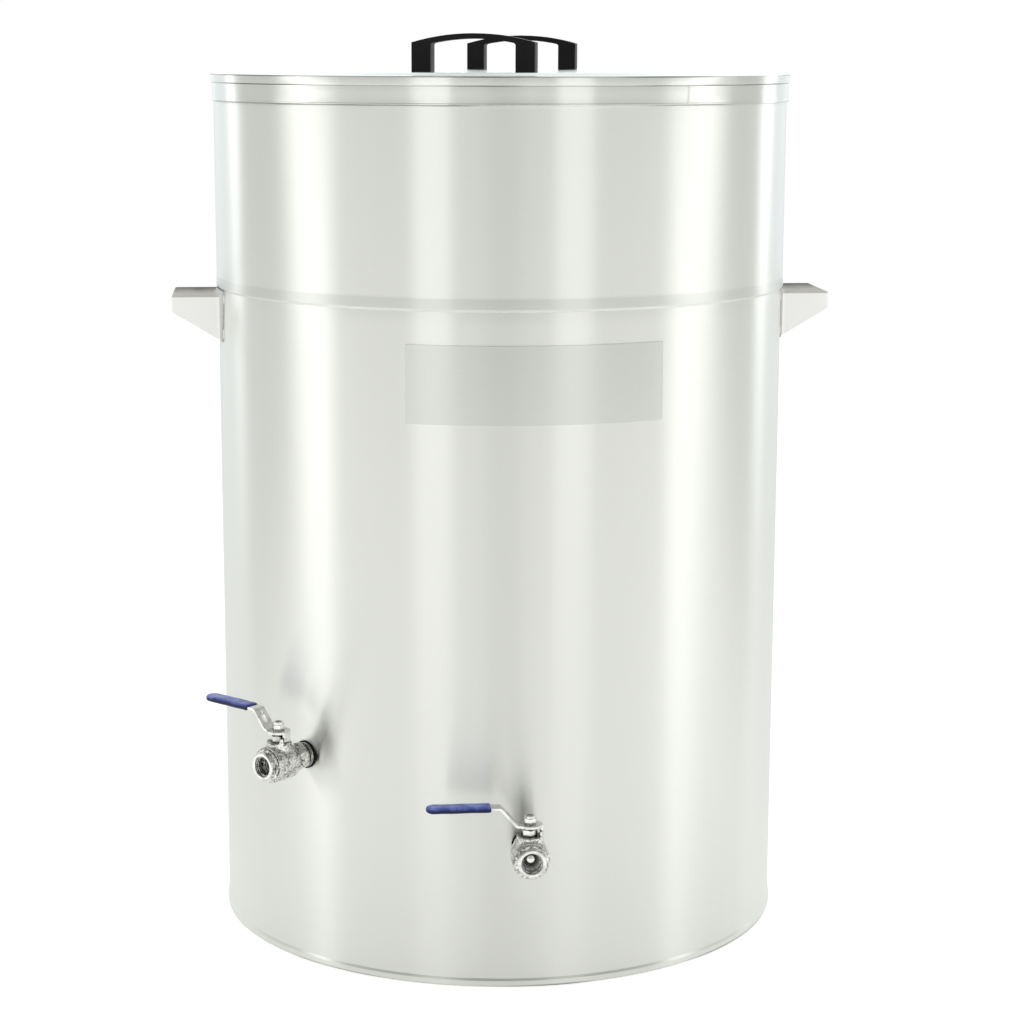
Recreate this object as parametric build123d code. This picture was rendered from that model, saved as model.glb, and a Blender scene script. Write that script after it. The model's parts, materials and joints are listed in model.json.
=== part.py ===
from build123d import *
import os
from math import degrees, sqrt, tan, radians

# Wax sterilizer: a tall jacketed stainless tank with a lift-off lid, two ball valves and a rear heater.
# Millimetres, +Z up, origin on the floor under the tank's axis, the lower valve facing -Y.
# An azimuth is measured from -Y towards +X.

# Common to all pieces
hex_bevel = 30.0
fit_play = 0.05
end_gap = 1.0
overrun = 10.0
touch = 0.01

# Outer casing
shell_radius = 300.0
upper_radius = 301.5
shell_sheet = 1.2
seam_height = 678.0
joggle_height = 13.0
rim_height = 898.8
rim_width = 13.5
rim_bend = 2.4
hem_height = 8.5
hem_proud = 1.4
hem_inset = 3.6
base_top = 20.0
base_sheet = 1.5
base_flange = 11.0

# Wax vessel and jacket
vessel_radius = 260.0
vessel_sheet = 1.5
vessel_floor = 138.0
vessel_floor_sheet = 2.0
vessel_top = 880.0
vessel_bead = 5.0
vessel_bead_round = 2.4
ring_height = 866.0
support_radius = 20.0
support_wall = 2.0
support_circle = 190.0
support_azimuths = (0, 120, 240)
filler_azimuth = 160.0
filler_circle = 280.0
filler_radius = 11.0
filler_bore = 8.0
filler_length = 11.0
filler_flats = 19.0
filler_head = 7.0

# Front plate
plate_azimuth = 2.0
plate_width = 260.0
plate_low = 569.0
plate_high = 646.0
plate_thickness = 0.6

# Side handles, one sheet folded into a hood with weld flanges
handle_azimuths = {"left": -90, "right": 90}
handle_reach = 348.0
handle_width = 97.5
handle_sheet = 1.5
handle_top = 672.0
handle_lip = 655.0
handle_foot = 626.0
handle_bend = 2.5
flange_low = 624.0
flange_high = 678.0
flange_width = 16.0
flange_foot_width = 6.5
flange_bend = 5.0

# Lid
lid_sheet = 1.2
lid_top = 900.0
lid_rise = 3.0
lid_rise_inner = 268.0
lid_rise_outer = 280.0
lid_clearance = 0.3
lid_edge_round = 1.1
lid_skirt_low = 872.0
lid_band_low = 891.5
lid_hem = 2.5
lid_hem_proud = 0.5
lid_hem_round = 0.4
lid_band_round = 0.5
lid_hole_play = 0.3
lid_turn = -13.1
grip_circle = 181.7
grip_length = 122.0
grip_leg = 19.0
grip_depth = 25.0
grip_shoulder = 28.5
grip_crown = 37.3
grip_bar = 5.3
grip_drop = 4.5
grip_inner_round = 2.5
grip_edge_round = 2.0
grip_screw_spacing = 103.0
grip_screw_depth = 16.0
m6_radius = 3.0
m6_flats = 10.0
m6_nut_height = 8.0
m6_washer_radius = 6.0
m6_washer_height = 1.0
m6_wide_washer_radius = 9.0
m6_wide_washer_height = 1.2
m6_washer_play = 0.2
m6_head_radius = 5.5
m6_head_height = 3.5

# Ball valves, G 1/2, measured from the ball's centre
valves = {"front": (0, 149.0), "left": (-46, 220.5)}
ball_circle = 338.0
valve_inlet = 31.0
valve_outlet = 23.0
valve_flats = 26.0
inlet_hex = 12.0
barrel_radius = 18.5
barrel_back = 12.0
barrel_front = 16.0
barrel_round = 3.0
barrel_edge_round = 1.0
neck_radius = 12.9
cap_flange_radius = 17.0
cap_flange = 2.5
cap_thread_radius = 15.0
thread_radius = 10.48
tapping_radius = 9.32
thread_length = 15.0
outlet_thread = 10.0
mouth_chamfer = 1.0
port_radius = 7.5
ball_radius = 12.5
ball_play = 0.3
cavity_radius = 13.05
cavity_half = 11.0
seat_inner = 6.9
seat_outer = 10.9
seat_bore = 7.7
slot_width = 5.0
slot_floor = 9.3
tang_floor = 9.6
tang_length = 8.6
stem_collar_radius = 5.4
stem_collar_low = 12.6
stem_collar_high = 13.6
stem_pocket_radius = 5.8
stem_pocket_top = 13.9
stem_radius = 4.5
stem_shoulder = 30.5
stem_flat_top = 33.4
stem_thread_top = 41.5
bonnet_radius = 13.0
bonnet_top = 22.0
packing_radius = 6.5
packing_low = 17.5
packing_high = 20.0
gland_flats = 14.0
gland_top = 28.5
stop_face = 4.3
stop_end = 8.0
stop_inner = 9.0
stop_outer = 12.5
stop_top = 27.5

# Valve levers
lever_low = 31.0
lever_sheet = 2.5
lever_rise = 18.3
lever_crank_start = 13.0
lever_crank_end = 29.0
lever_bend = 4.0
lever_length = 100.0
lever_width = 14.0
lever_boss_radius = 12.0
lever_flat_radius = 4.0
lever_flat_half = 3.0
lever_slot_length = 9.0
lever_slot_width = 5.0
lever_tab_half = 4.0
lever_tab_inner = 10.0
lever_tab_low = 23.5
sleeve_start = 38.0
sleeve_end = 102.0
sleeve_width = 17.0
sleeve_height = 6.2
sleeve_round = 2.6

# Wall fittings of the valves
nipple_inner_end = 254.0
nipple_collar_radius = 12.0
nipple_collar_low = 302.5
nipple_collar_high = 304.5
gasket_radius = 14.3
wall_hole_radius = 11.0

# Immersion heater through the back
heater_azimuth = 180
heater_height = 80.0
boss_radius = 32.0
boss_end = 316.0
plug_radius = 24.0
plug_inner_end = 288.0
plug_flats = 62.0
plug_head = 11.0
element_radius = 4.25
element_spread = 12.0
element_rise = 8.0
element_end = -100.0
pocket_radius = 5.0
pocket_bore = 4.0
pocket_end = 120.0
head_radius = 44.0
head_base = 4.0
head_skin = 1.0
cover_length = 55.0
cover_wall = 2.5
cover_round = 2.0
thermostat_radius = 18.0
thermostat_length = 40.0
knob_shaft_radius = 3.0
knob_shaft_end = 362.0
knob_shaft_play = 0.06
knob_radius = 17.0
knob_length = 16.0
knob_taper = 1.0
knob_gap = 1.5
knob_pointer_length = 15.0
knob_pointer_width = 5.0
knob_pointer_height = 2.0
knob_round = 1.5
cover_screw_circle = 33.0
cover_screw_turns = (60, 180, 300)
cover_screw_radius = 2.0
cover_screw_head = 4.0
cover_screw_head_height = 2.5
gland_boss_radius = 13.0
gland_boss_face = 46.5
gland_thread_radius = 8.0
gland_inner_end = 38.0
gland_hex_flats = 22.0
gland_hex_length = 5.0
gland_cap_radius = 10.0
gland_cap_length = 13.0
gland_cap_round = 3.0
gland_bore = 5.0


def turned(points, rounds=0):
    profile = [(radius, 0, height) for radius, height in points]
    outline = FilletPolyline(*profile, radius=rounds, close=True)
    return revolve(make_face(outline), Axis.Z)


def rod(radius, low, high):
    return Pos(0, 0, low) * extrude(Circle(radius), high - low)


def tube(outer, inner, low, high):
    return Pos(0, 0, low) * extrude(Circle(outer) - Circle(inner), high - low)


def block(x_range, y_range, z_range):
    size = [high - low for low, high in (x_range, y_range, z_range)]
    centre = [(high + low) / 2 for low, high in (x_range, y_range, z_range)]
    return Pos(*centre) * Box(*size)


def hexagon(flats, low, high, bevel_low=True, bevel_high=True):
    # A hexagonal prism whose corners are turned off at the chosen ends.
    corner = flats / sqrt(3)
    bevel = (corner - flats / 2) * tan(radians(hex_bevel))
    low_edge = low + bevel if bevel_low else low
    high_edge = high - bevel if bevel_high else high
    low_radius = flats / 2 if bevel_low else corner
    high_radius = flats / 2 if bevel_high else corner
    points = [(0, low), (low_radius, low)]
    if bevel_low:
        points.append((corner, low_edge))
    if bevel_high:
        points.append((corner, high_edge))
    points += [(high_radius, high), (0, high)]
    prism = Pos(0, 0, low) * extrude(RegularPolygon(flats / 2, 6, major_radius=False), high - low)
    return prism & turned(points)


def along_flow(shape):
    # Turns a shape built along +Z so that it lies along a valve's outward axis.
    return Rot(0, 90, 0) * shape


def facing(azimuth):
    # Local +X points outwards at this azimuth.
    return Rot(0, 0, azimuth - 90)


def outwards(azimuth, height, shape):
    # A shape built along +Z, with z as the distance from the tank's axis.
    return Pos(0, 0, height) * facing(azimuth) * along_flow(shape)


# Outer casing


def shell_lower():
    wall = tube(shell_radius, shell_radius - shell_sheet, hem_height / 2, seam_height)
    inner = shell_radius - hem_inset
    outer = shell_radius + hem_proud
    corners = [(inner, 0), (outer, 0), (outer, hem_height), (inner, hem_height)]
    shell = wall + turned(corners, hem_proud)
    for azimuth, height in valves.values():
        shell -= outwards(azimuth, height, rod(wall_hole_radius, vessel_radius, handle_reach))
    return shell - outwards(heater_azimuth, heater_height, rod(plug_radius, plug_inner_end, boss_end))


def shell_upper():
    full = seam_height + joggle_height
    inside = upper_radius - shell_sheet
    rim_inner = upper_radius - rim_width
    points = [
        (shell_radius, seam_height),
        (upper_radius, full),
        (upper_radius, rim_height),
        (rim_inner, rim_height),
        (rim_inner, rim_height - shell_sheet),
        (inside, rim_height - shell_sheet),
        (inside, full),
        (shell_radius - shell_sheet, seam_height),
    ]
    return turned(points, [0, 0, rim_bend, 0, 0, rim_bend - shell_sheet, 0, 0])


def base_plate():
    radius = shell_radius - shell_sheet
    under = base_top - base_sheet
    return rod(radius, under, base_top) + tube(radius, radius - base_sheet, base_top - base_flange, under)


# Wax vessel and jacket


def vessel_wall():
    inside = vessel_radius - vessel_sheet
    wall = tube(vessel_radius, inside, vessel_floor, vessel_top)
    bead_low = vessel_top - vessel_bead
    bead_inner = inside - vessel_bead + vessel_sheet
    corners = [
        (bead_inner, bead_low),
        (vessel_radius, bead_low),
        (vessel_radius, vessel_top),
        (bead_inner, vessel_top),
    ]
    wall += turned(corners, [vessel_bead_round, 0, vessel_sheet / 2, vessel_bead_round])
    for azimuth, height in valves.values():
        wall -= outwards(azimuth, height, rod(thread_radius, nipple_inner_end - overrun, shell_radius))
    return wall


def vessel_bottom():
    return rod(vessel_radius, vessel_floor - vessel_floor_sheet, vessel_floor)


def vessel_supports():
    leg = tube(support_radius, support_radius - support_wall, base_top, vessel_floor - vessel_floor_sheet)
    return Part() + [facing(azimuth) * Pos(support_circle, 0, 0) * leg for azimuth in support_azimuths]


def top_ring():
    ring = tube(upper_radius - shell_sheet, vessel_radius, ring_height, ring_height + vessel_sheet)
    return ring - filler_place() * rod(filler_bore, ring_height, rim_height)


def filler_place():
    return facing(filler_azimuth) * Pos(filler_circle, 0, 0)


def filler_neck():
    low = ring_height + vessel_sheet
    return filler_place() * tube(filler_radius, filler_bore, low, low + filler_length)


def filler_plug():
    seat = ring_height + vessel_sheet + filler_length
    plug = rod(filler_bore - fit_play, seat - filler_length, seat)
    plug += hexagon(filler_flats, seat, seat + filler_head)
    return filler_place() * plug


# Front plate and side handles


def front_plate():
    arc = degrees(plate_width / shell_radius)
    middle = Pos(shell_radius + plate_thickness / 2, (plate_low + plate_high) / 2)
    section = Plane.XZ * middle * Rectangle(plate_thickness, plate_high - plate_low)
    return facing(plate_azimuth - arc / 2) * revolve(section, Axis.Z, arc)


def side_handle(azimuth):
    half = handle_width / 2
    inner_half = half - handle_sheet
    reach = handle_reach - handle_sheet
    start = shell_radius - overrun
    side = Polyline(
        (start, handle_top),
        (handle_reach, handle_top),
        (handle_reach, handle_lip),
        (shell_radius, handle_foot),
        (start, handle_foot),
        close=True,
    )
    hood = extrude(Plane.XZ * make_face(side), half, both=True)
    top_edges = hood.edges().group_by(Axis.Z)[-1].sort_by(Axis.X)[1:]
    corner_edges = hood.edges().filter_by(Axis.Z).group_by(Axis.X)[-1]
    hood = fillet(top_edges + corner_edges, handle_bend)
    hood -= block((start - overrun, reach), (-inner_half, inner_half), (0, handle_top - handle_sheet))
    hood -= rod(shell_radius, 0, rim_height)
    collar = tube(shell_radius + handle_sheet, shell_radius, flange_low, flange_high)
    flange_outline = Polyline(
        (-half - flange_width, flange_high),
        (half + flange_width, flange_high),
        (half + flange_foot_width, flange_low),
        (-half - flange_foot_width, flange_low),
        close=True,
    )
    sides = extrude(Plane.YZ * make_face(flange_outline), handle_reach)
    window = block((0, handle_reach), (-inner_half, inner_half), (0, handle_top - handle_sheet))
    handle = hood + (collar & (sides - window))
    corner_x = sqrt((shell_radius + handle_sheet) ** 2 - half**2)
    corners = handle.edges().filter_by(Axis.Z).filter_by_position(Axis.X, corner_x - touch, corner_x + touch)
    return facing(azimuth) * fillet(corners, flange_bend)


# Lid


def lid_panel():
    edge = upper_radius + lid_clearance + 2 * lid_sheet
    under = lid_top - lid_sheet
    points = [
        (0, lid_top + lid_rise),
        (lid_rise_inner, lid_top + lid_rise),
        (lid_rise_outer, lid_top),
        (edge, lid_top),
        (edge, under),
        (lid_rise_outer, under),
        (lid_rise_inner, under + lid_rise),
        (0, under + lid_rise),
    ]
    panel = turned(points, [0, 0, 0, lid_edge_round, 0, 0, 0, 0])
    for place in grip_screw_places():
        panel -= place * rod(m6_radius + lid_hole_play, -overrun, overrun)
    return panel


def lid_skirt():
    inner = upper_radius + lid_clearance
    outer = inner + lid_sheet
    band = outer + lid_sheet
    hem = outer + lid_hem_proud
    hem_top = lid_skirt_low + lid_hem
    points = [
        (inner, lid_skirt_low),
        (hem, lid_skirt_low),
        (hem, hem_top),
        (outer, hem_top),
        (outer, lid_band_low),
        (band, lid_band_low),
        (band, lid_top - lid_sheet),
        (inner, lid_top - lid_sheet),
    ]
    return turned(points, [0, lid_hem_round, lid_hem_round, 0, 0, lid_band_round, 0, 0])


def grip_place(azimuth):
    return Rot(0, 0, azimuth) * Pos(0, -grip_circle, lid_top + lid_rise)


def grip_screw_places():
    turns = (lid_turn, lid_turn + 180)
    offsets = (-grip_screw_spacing / 2, grip_screw_spacing / 2)
    return [grip_place(turn) * Pos(offset, 0, 0) for turn in turns for offset in offsets]


def lid_handle(azimuth):
    half = grip_length / 2
    leg = half - grip_leg
    under = grip_crown - grip_bar
    inner_shoulder = under - grip_drop
    outline = Polyline((-half, grip_shoulder), (-half, 0), (-leg, 0), (-leg, inner_shoulder))
    outline += ThreePointArc((-leg, inner_shoulder), (0, under), (leg, inner_shoulder))
    outline += Polyline((leg, inner_shoulder), (leg, 0), (half, 0), (half, grip_shoulder))
    outline += ThreePointArc((half, grip_shoulder), (0, grip_crown), (-half, grip_shoulder))
    side = make_face(outline)
    corners = side.vertices().filter_by_position(Axis.Y, inner_shoulder - touch, inner_shoulder + touch)
    side = fillet(corners, grip_inner_round)
    grip = extrude(Plane.XZ * side, grip_depth / 2, both=True)
    rims = grip.edges().group_by(Axis.Y)[0] + grip.edges().group_by(Axis.Y)[-1]
    grip = fillet(rims.filter_by(lambda edge: edge.bounding_box().max.Z > touch), grip_edge_round)
    for offset in (-grip_screw_spacing / 2, grip_screw_spacing / 2):
        grip -= Pos(offset, 0, 0) * rod(m6_radius + fit_play, 0, grip_screw_depth)
    return grip_place(azimuth) * grip


def lid_handle_screws():
    seat = -lid_sheet - m6_wide_washer_height
    low = seat - m6_head_height
    dome = [(0, low), (m6_head_radius, low), (m6_head_radius, seat), (0, seat)]
    screw = turned(dome, [0, m6_head_height / 2, 0, 0])
    screw += rod(m6_radius, seat, grip_screw_depth - end_gap)
    return Part() + [place * screw for place in grip_screw_places()]


def lid_handle_washers():
    low = -lid_sheet - m6_wide_washer_height
    washer = tube(m6_wide_washer_radius, m6_radius + m6_washer_play, low, -lid_sheet)
    return Part() + [place * washer for place in grip_screw_places()]


# Ball valve, in its own frame: +X outwards along the flow, +Z up the stem, origin at the ball's centre


def valve_body():
    profile = [
        (0, inlet_hex - valve_inlet),
        (neck_radius, inlet_hex - valve_inlet),
        (barrel_radius, -barrel_back),
        (barrel_radius, barrel_front),
        (0, barrel_front),
    ]
    body = along_flow(turned(profile, [0, 0, barrel_round, barrel_edge_round, 0]))
    body += along_flow(hexagon(valve_flats, -valve_inlet, inlet_hex - valve_inlet))
    body += rod(bonnet_radius, 0, bonnet_top)
    stops = block((stop_face, stop_end), (stop_inner, stop_outer), (0, stop_top))
    stops += block((-stop_outer, -stop_inner), (-stop_end, -stop_face), (0, stop_top))
    body += stops & rod(bonnet_radius, 0, stop_top)
    body -= along_flow(rod(thread_radius + fit_play, -valve_inlet, thread_length - valve_inlet))
    body -= along_flow(rod(port_radius, thread_length - valve_inlet, 0))
    body -= along_flow(rod(cavity_radius, -cavity_half, barrel_front))
    body -= along_flow(rod(cap_thread_radius, cavity_half, barrel_front))
    body -= rod(stem_pocket_radius, 0, stem_pocket_top)
    body -= rod(stem_radius + fit_play, 0, bonnet_top)
    return body - rod(packing_radius, packing_low, bonnet_top)


def valve_end_cap():
    cap = rod(cap_thread_radius - fit_play, cavity_half, barrel_front)
    flange_end = barrel_front + cap_flange
    cap += rod(cap_flange_radius, barrel_front, flange_end)
    cap += hexagon(valve_flats, flange_end, valve_outlet, bevel_low=False)
    cap -= rod(port_radius, 0, valve_outlet)
    cap -= rod(tapping_radius, valve_outlet - outlet_thread, valve_outlet)
    mouth = [
        (0, valve_outlet - mouth_chamfer),
        (tapping_radius, valve_outlet - mouth_chamfer),
        (tapping_radius + mouth_chamfer, valve_outlet),
        (0, valve_outlet),
    ]
    return along_flow(cap - turned(mouth))


def valve_seats():
    seat = tube(cavity_radius - fit_play, seat_bore, seat_inner, seat_outer)
    seat -= Sphere(ball_radius + ball_play)
    return along_flow(seat) + along_flow(Rot(180, 0, 0) * seat)


def valve_packing():
    return tube(packing_radius - fit_play, stem_radius + fit_play, packing_low, packing_high)


def valve_gland_nut():
    nut = rod(packing_radius - fit_play, packing_high, bonnet_top)
    nut += hexagon(gland_flats, bonnet_top, gland_top)
    return nut - rod(stem_radius + fit_play, packing_high, gland_top)


def valve_ball():
    ball = Sphere(ball_radius) - Rot(90, 0, 0) * rod(port_radius, -ball_radius, ball_radius)
    half = slot_width / 2
    return ball - block((-ball_radius, ball_radius), (-half, half), (slot_floor, ball_radius))


def valve_stem():
    tang = slot_width / 2 - fit_play
    flat = lever_flat_half - fit_play
    stem = block((-tang_length / 2, tang_length / 2), (-tang, tang), (tang_floor, stem_collar_low))
    stem += rod(stem_collar_radius, stem_collar_low, stem_collar_high)
    stem += rod(stem_radius, stem_collar_high, stem_shoulder)
    shank = rod(lever_flat_radius - fit_play, stem_shoulder, stem_flat_top)
    stem += shank & block((-stem_radius, stem_radius), (-flat, flat), (0, stem_flat_top))
    return stem + rod(m6_radius, stem_flat_top, stem_thread_top)


def valve_lever():
    level = lever_low + lever_sheet / 2
    path = FilletPolyline(
        (0, lever_boss_radius, level),
        (0, -lever_crank_start, level),
        (0, -lever_crank_end, level + lever_rise),
        (0, -lever_length, level + lever_rise),
        radius=lever_bend,
    )
    start = Plane((0, lever_boss_radius, level), x_dir=(1, 0, 0), z_dir=(0, -1, 0))
    strip = sweep(start * Rectangle(2 * lever_boss_radius, lever_sheet), path=path)
    tip = lever_length - lever_width / 2
    plan = Circle(lever_boss_radius) + Pos(0, -tip / 2) * Rectangle(lever_width, tip)
    plan += Pos(0, -tip) * Circle(lever_width / 2)
    above = level + lever_rise + overrun
    lever = strip & extrude(plan, above)
    tab_top = lever_low + lever_sheet
    tab_sides = (-lever_tab_half, lever_tab_half)
    lever += block(tab_sides, (lever_tab_inner, stop_outer), (lever_tab_low, tab_top))
    hole = Circle(lever_flat_radius) & Rectangle(2 * stem_radius, 2 * lever_flat_half)
    crank_middle = (lever_crank_start + lever_crank_end) / 2
    slot = Pos(0, -crank_middle) * Rot(0, 0, 90) * SlotOverall(lever_slot_length, lever_slot_width)
    return lever - extrude(hole, above) - extrude(slot, above)


def valve_sleeve():
    middle = lever_low + lever_sheet / 2 + lever_rise
    nose = sleeve_end - sleeve_width / 2
    plan = Pos(0, -(sleeve_start + nose) / 2) * Rectangle(sleeve_width, nose - sleeve_start)
    plan += Pos(0, -nose) * Circle(sleeve_width / 2)
    sleeve = Pos(0, 0, middle - sleeve_height / 2) * extrude(plan, sleeve_height)
    rims = sleeve.edges().group_by(Axis.Z)
    sleeve = fillet(rims[0] + rims[-1], sleeve_round)
    return sleeve - valve_lever()


def valve_lever_washer():
    low = lever_low + lever_sheet
    return tube(m6_washer_radius, m6_radius + fit_play, low, low + m6_washer_height)


def valve_lever_nut():
    low = lever_low + lever_sheet + m6_washer_height
    nut = hexagon(m6_flats, low, low + m6_nut_height, bevel_low=False)
    return nut - rod(m6_radius + fit_play, low, low + m6_nut_height)


def valve_nipple():
    # Built along +Z from the tank's axis.
    end = ball_circle - valve_inlet + thread_length - end_gap
    pipe = tube(thread_radius - fit_play, port_radius, nipple_inner_end, end)
    return pipe + tube(nipple_collar_radius, port_radius, nipple_collar_low, nipple_collar_high)


def valve_gasket(azimuth, height):
    washer = tube(gasket_radius, thread_radius, vessel_radius, nipple_collar_low)
    return outwards(azimuth, height, washer) - rod(shell_radius, 0, rim_height)


# Immersion heater, built along +Z from the tank's axis


def heater_boss():
    boss = tube(boss_radius, plug_radius, vessel_radius, boss_end)
    return outwards(heater_azimuth, heater_height, boss) - rod(shell_radius, 0, rim_height)


def heater_plug():
    plug = rod(plug_radius - fit_play, plug_inner_end, boss_end)
    plug += hexagon(plug_flats, boss_end, boss_end + plug_head)
    return plug - rod(pocket_bore, plug_inner_end, boss_end + plug_head)


def heater_elements():
    legs = Part()
    for side in (-element_spread, element_spread):
        legs += Pos(0, side, 0) * rod(element_radius, element_end, plug_inner_end)
    bow = revolve(Pos(0, element_spread) * Circle(element_radius), Axis.X, 180)
    hairpin = legs + Pos(0, 0, element_end) * Rot(180, 0, 0) * bow
    return Part() + [Pos(offset, 0, 0) * hairpin for offset in (-element_rise, element_rise)]


def heater_pocket():
    bore_end = pocket_end + pocket_radius - pocket_bore
    return rod(pocket_radius, pocket_end, plug_inner_end) - rod(pocket_bore, bore_end, plug_inner_end)


def head_start():
    return boss_end + plug_head


def cover_end():
    return head_start() + head_base + cover_length


def cover_screw_places():
    return [Rot(0, 0, turn) * Pos(cover_screw_circle, 0, 0) for turn in cover_screw_turns]


def heater_head():
    start = head_start()
    head = rod(head_radius, start, start + head_base) - rod(pocket_bore, start, start + head_base)
    for place in cover_screw_places():
        head -= place * rod(cover_screw_radius + fit_play, start + head_skin, start + head_base)
    return head


def thermostat():
    start = head_start() + head_base
    end = start + thermostat_length
    hole = rod(knob_shaft_radius + knob_shaft_play, knob_shaft_end - end_gap, end)
    return rod(thermostat_radius, start, end) - hole


def gland_place():
    # The cable gland leaves the cover sideways, half way along it.
    return Pos(0, 0, head_start() + head_base + cover_length / 2) * Rot(90, 0, 0)


def heater_cover():
    start = head_start() + head_base
    end = cover_end()
    inside = rod(head_radius - cover_wall, start, end - cover_wall)
    cover = rod(head_radius, start, end)
    rim = cover.edges().group_by(Axis.Z)[-1]
    cover = fillet(rim, cover_round)
    cover += gland_place() * rod(gland_boss_radius, gland_inner_end, gland_boss_face)
    cover -= inside
    cover -= rod(knob_shaft_radius + knob_shaft_play, start, end)
    cover -= gland_place() * rod(gland_thread_radius, 0, gland_boss_face)
    for place in cover_screw_places():
        cover -= place * rod(cover_screw_radius + fit_play, start, end)
    return cover


def cover_screws():
    end = cover_end()
    screw = rod(cover_screw_radius, head_start() + head_skin + end_gap, end)
    screw += rod(cover_screw_head, end, end + cover_screw_head_height)
    return Part() + [place * screw for place in cover_screw_places()]


def cable_gland():
    face = gland_boss_face
    cap_start = face + gland_hex_length
    gland = rod(gland_thread_radius - fit_play, gland_inner_end, face)
    gland += hexagon(gland_hex_flats, face, cap_start)
    cap_end = cap_start + gland_cap_length
    dome = [(0, cap_start), (gland_cap_radius, cap_start), (gland_cap_radius, cap_end), (0, cap_end)]
    gland += turned(dome, [0, 0, gland_cap_round, 0])
    return gland_place() * (gland - rod(gland_bore, gland_inner_end, cap_end))


def thermostat_knob():
    start = cover_end() + knob_gap
    end = start + knob_length
    outline = [(0, start), (knob_radius, start), (knob_radius - knob_taper, end), (0, end)]
    knob = turned(outline, [0, 0, knob_round, 0])
    half = knob_pointer_width / 2
    knob += block((-knob_pointer_length, 0), (-half, half), (end, end + knob_pointer_height))
    return knob + rod(knob_shaft_radius, knob_shaft_end, start)


# Every node, placed in the tank's frame

nodes = {
    "shell_lower": shell_lower(),
    "shell_upper": shell_upper(),
    "base_plate": base_plate(),
    "vessel_wall": vessel_wall(),
    "vessel_bottom": vessel_bottom(),
    "vessel_supports": vessel_supports(),
    "top_ring": top_ring(),
    "jacket_filler_neck": filler_neck(),
    "jacket_filler_plug": filler_plug(),
    "front_plate": front_plate(),
    "lid_panel": lid_panel(),
    "lid_skirt": lid_skirt(),
    "lid_handle_front": lid_handle(lid_turn),
    "lid_handle_rear": lid_handle(lid_turn + 180),
    "lid_handle_screws": lid_handle_screws(),
    "lid_handle_washers": lid_handle_washers(),
}

for side, azimuth in handle_azimuths.items():
    nodes[f"side_handle_{side}"] = side_handle(azimuth)

valve_pieces = {
    "body": valve_body(),
    "end_cap": valve_end_cap(),
    "seats": valve_seats(),
    "packing": valve_packing(),
    "gland_nut": valve_gland_nut(),
    "ball": valve_ball(),
    "stem": valve_stem(),
    "lever": valve_lever(),
    "lever_sleeve": valve_sleeve(),
    "lever_washer": valve_lever_washer(),
    "lever_nut": valve_lever_nut(),
}
for side, (azimuth, height) in valves.items():
    place = Pos(0, 0, height) * facing(azimuth) * Pos(ball_circle, 0, 0)
    for name, piece in valve_pieces.items():
        nodes[f"{side}_valve_{name}"] = place * piece
    nodes[f"{side}_valve_nipple"] = outwards(azimuth, height, valve_nipple())
    nodes[f"{side}_valve_gasket"] = valve_gasket(azimuth, height)

nodes["heater_boss"] = heater_boss()
heater_pieces = {
    "heater_plug": heater_plug(),
    "heater_elements": heater_elements(),
    "heater_sensor_pocket": heater_pocket(),
    "heater_head": heater_head(),
    "heater_cover": heater_cover(),
    "heater_cover_screws": cover_screws(),
    "heater_cable_gland": cable_gland(),
    "thermostat": thermostat(),
    "thermostat_knob": thermostat_knob(),
}
for name, piece in heater_pieces.items():
    nodes[name] = outwards(heater_azimuth, heater_height, piece)

os.makedirs("parts", exist_ok=True)
for name, shape in nodes.items():
    export_step(shape, f"parts/{name}.step")
print(len(nodes), "nodes written")
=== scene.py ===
import json
import math

import bmesh
import bpy
from mathutils import Matrix, Vector, noise


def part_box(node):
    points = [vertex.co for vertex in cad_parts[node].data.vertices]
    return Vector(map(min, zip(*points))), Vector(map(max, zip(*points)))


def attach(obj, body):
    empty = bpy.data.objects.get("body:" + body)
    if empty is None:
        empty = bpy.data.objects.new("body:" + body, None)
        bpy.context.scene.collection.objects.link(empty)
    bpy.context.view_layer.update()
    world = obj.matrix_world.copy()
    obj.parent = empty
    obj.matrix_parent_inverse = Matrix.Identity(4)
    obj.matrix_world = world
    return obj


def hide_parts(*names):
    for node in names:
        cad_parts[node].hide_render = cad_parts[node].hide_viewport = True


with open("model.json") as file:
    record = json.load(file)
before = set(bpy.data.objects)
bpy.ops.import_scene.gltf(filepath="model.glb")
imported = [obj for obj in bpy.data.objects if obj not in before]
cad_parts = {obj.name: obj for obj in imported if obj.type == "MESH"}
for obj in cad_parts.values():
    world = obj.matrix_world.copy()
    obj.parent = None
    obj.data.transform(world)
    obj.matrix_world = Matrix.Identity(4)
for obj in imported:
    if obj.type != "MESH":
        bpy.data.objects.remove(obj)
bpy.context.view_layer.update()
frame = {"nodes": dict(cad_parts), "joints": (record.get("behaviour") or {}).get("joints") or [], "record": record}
nodes = frame["nodes"]
jointAt = {joint["name"]: Vector(joint.get("pos_m", (0, 0, 0))) for joint in frame["joints"]}
slotOf = {sub["node"]: sub["material_slot"] for sub in frame["record"]["subparts"]}
mm = 0.001
white, black = (1.0, 1.0, 1.0), (0.0, 0.0, 0.0)
print("frame:", len(nodes), "nodes")


# Shader wiring
openCorner = (0.25, 0.8)  # how open a corner is where its painted shade is darkest and where it clears


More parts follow.
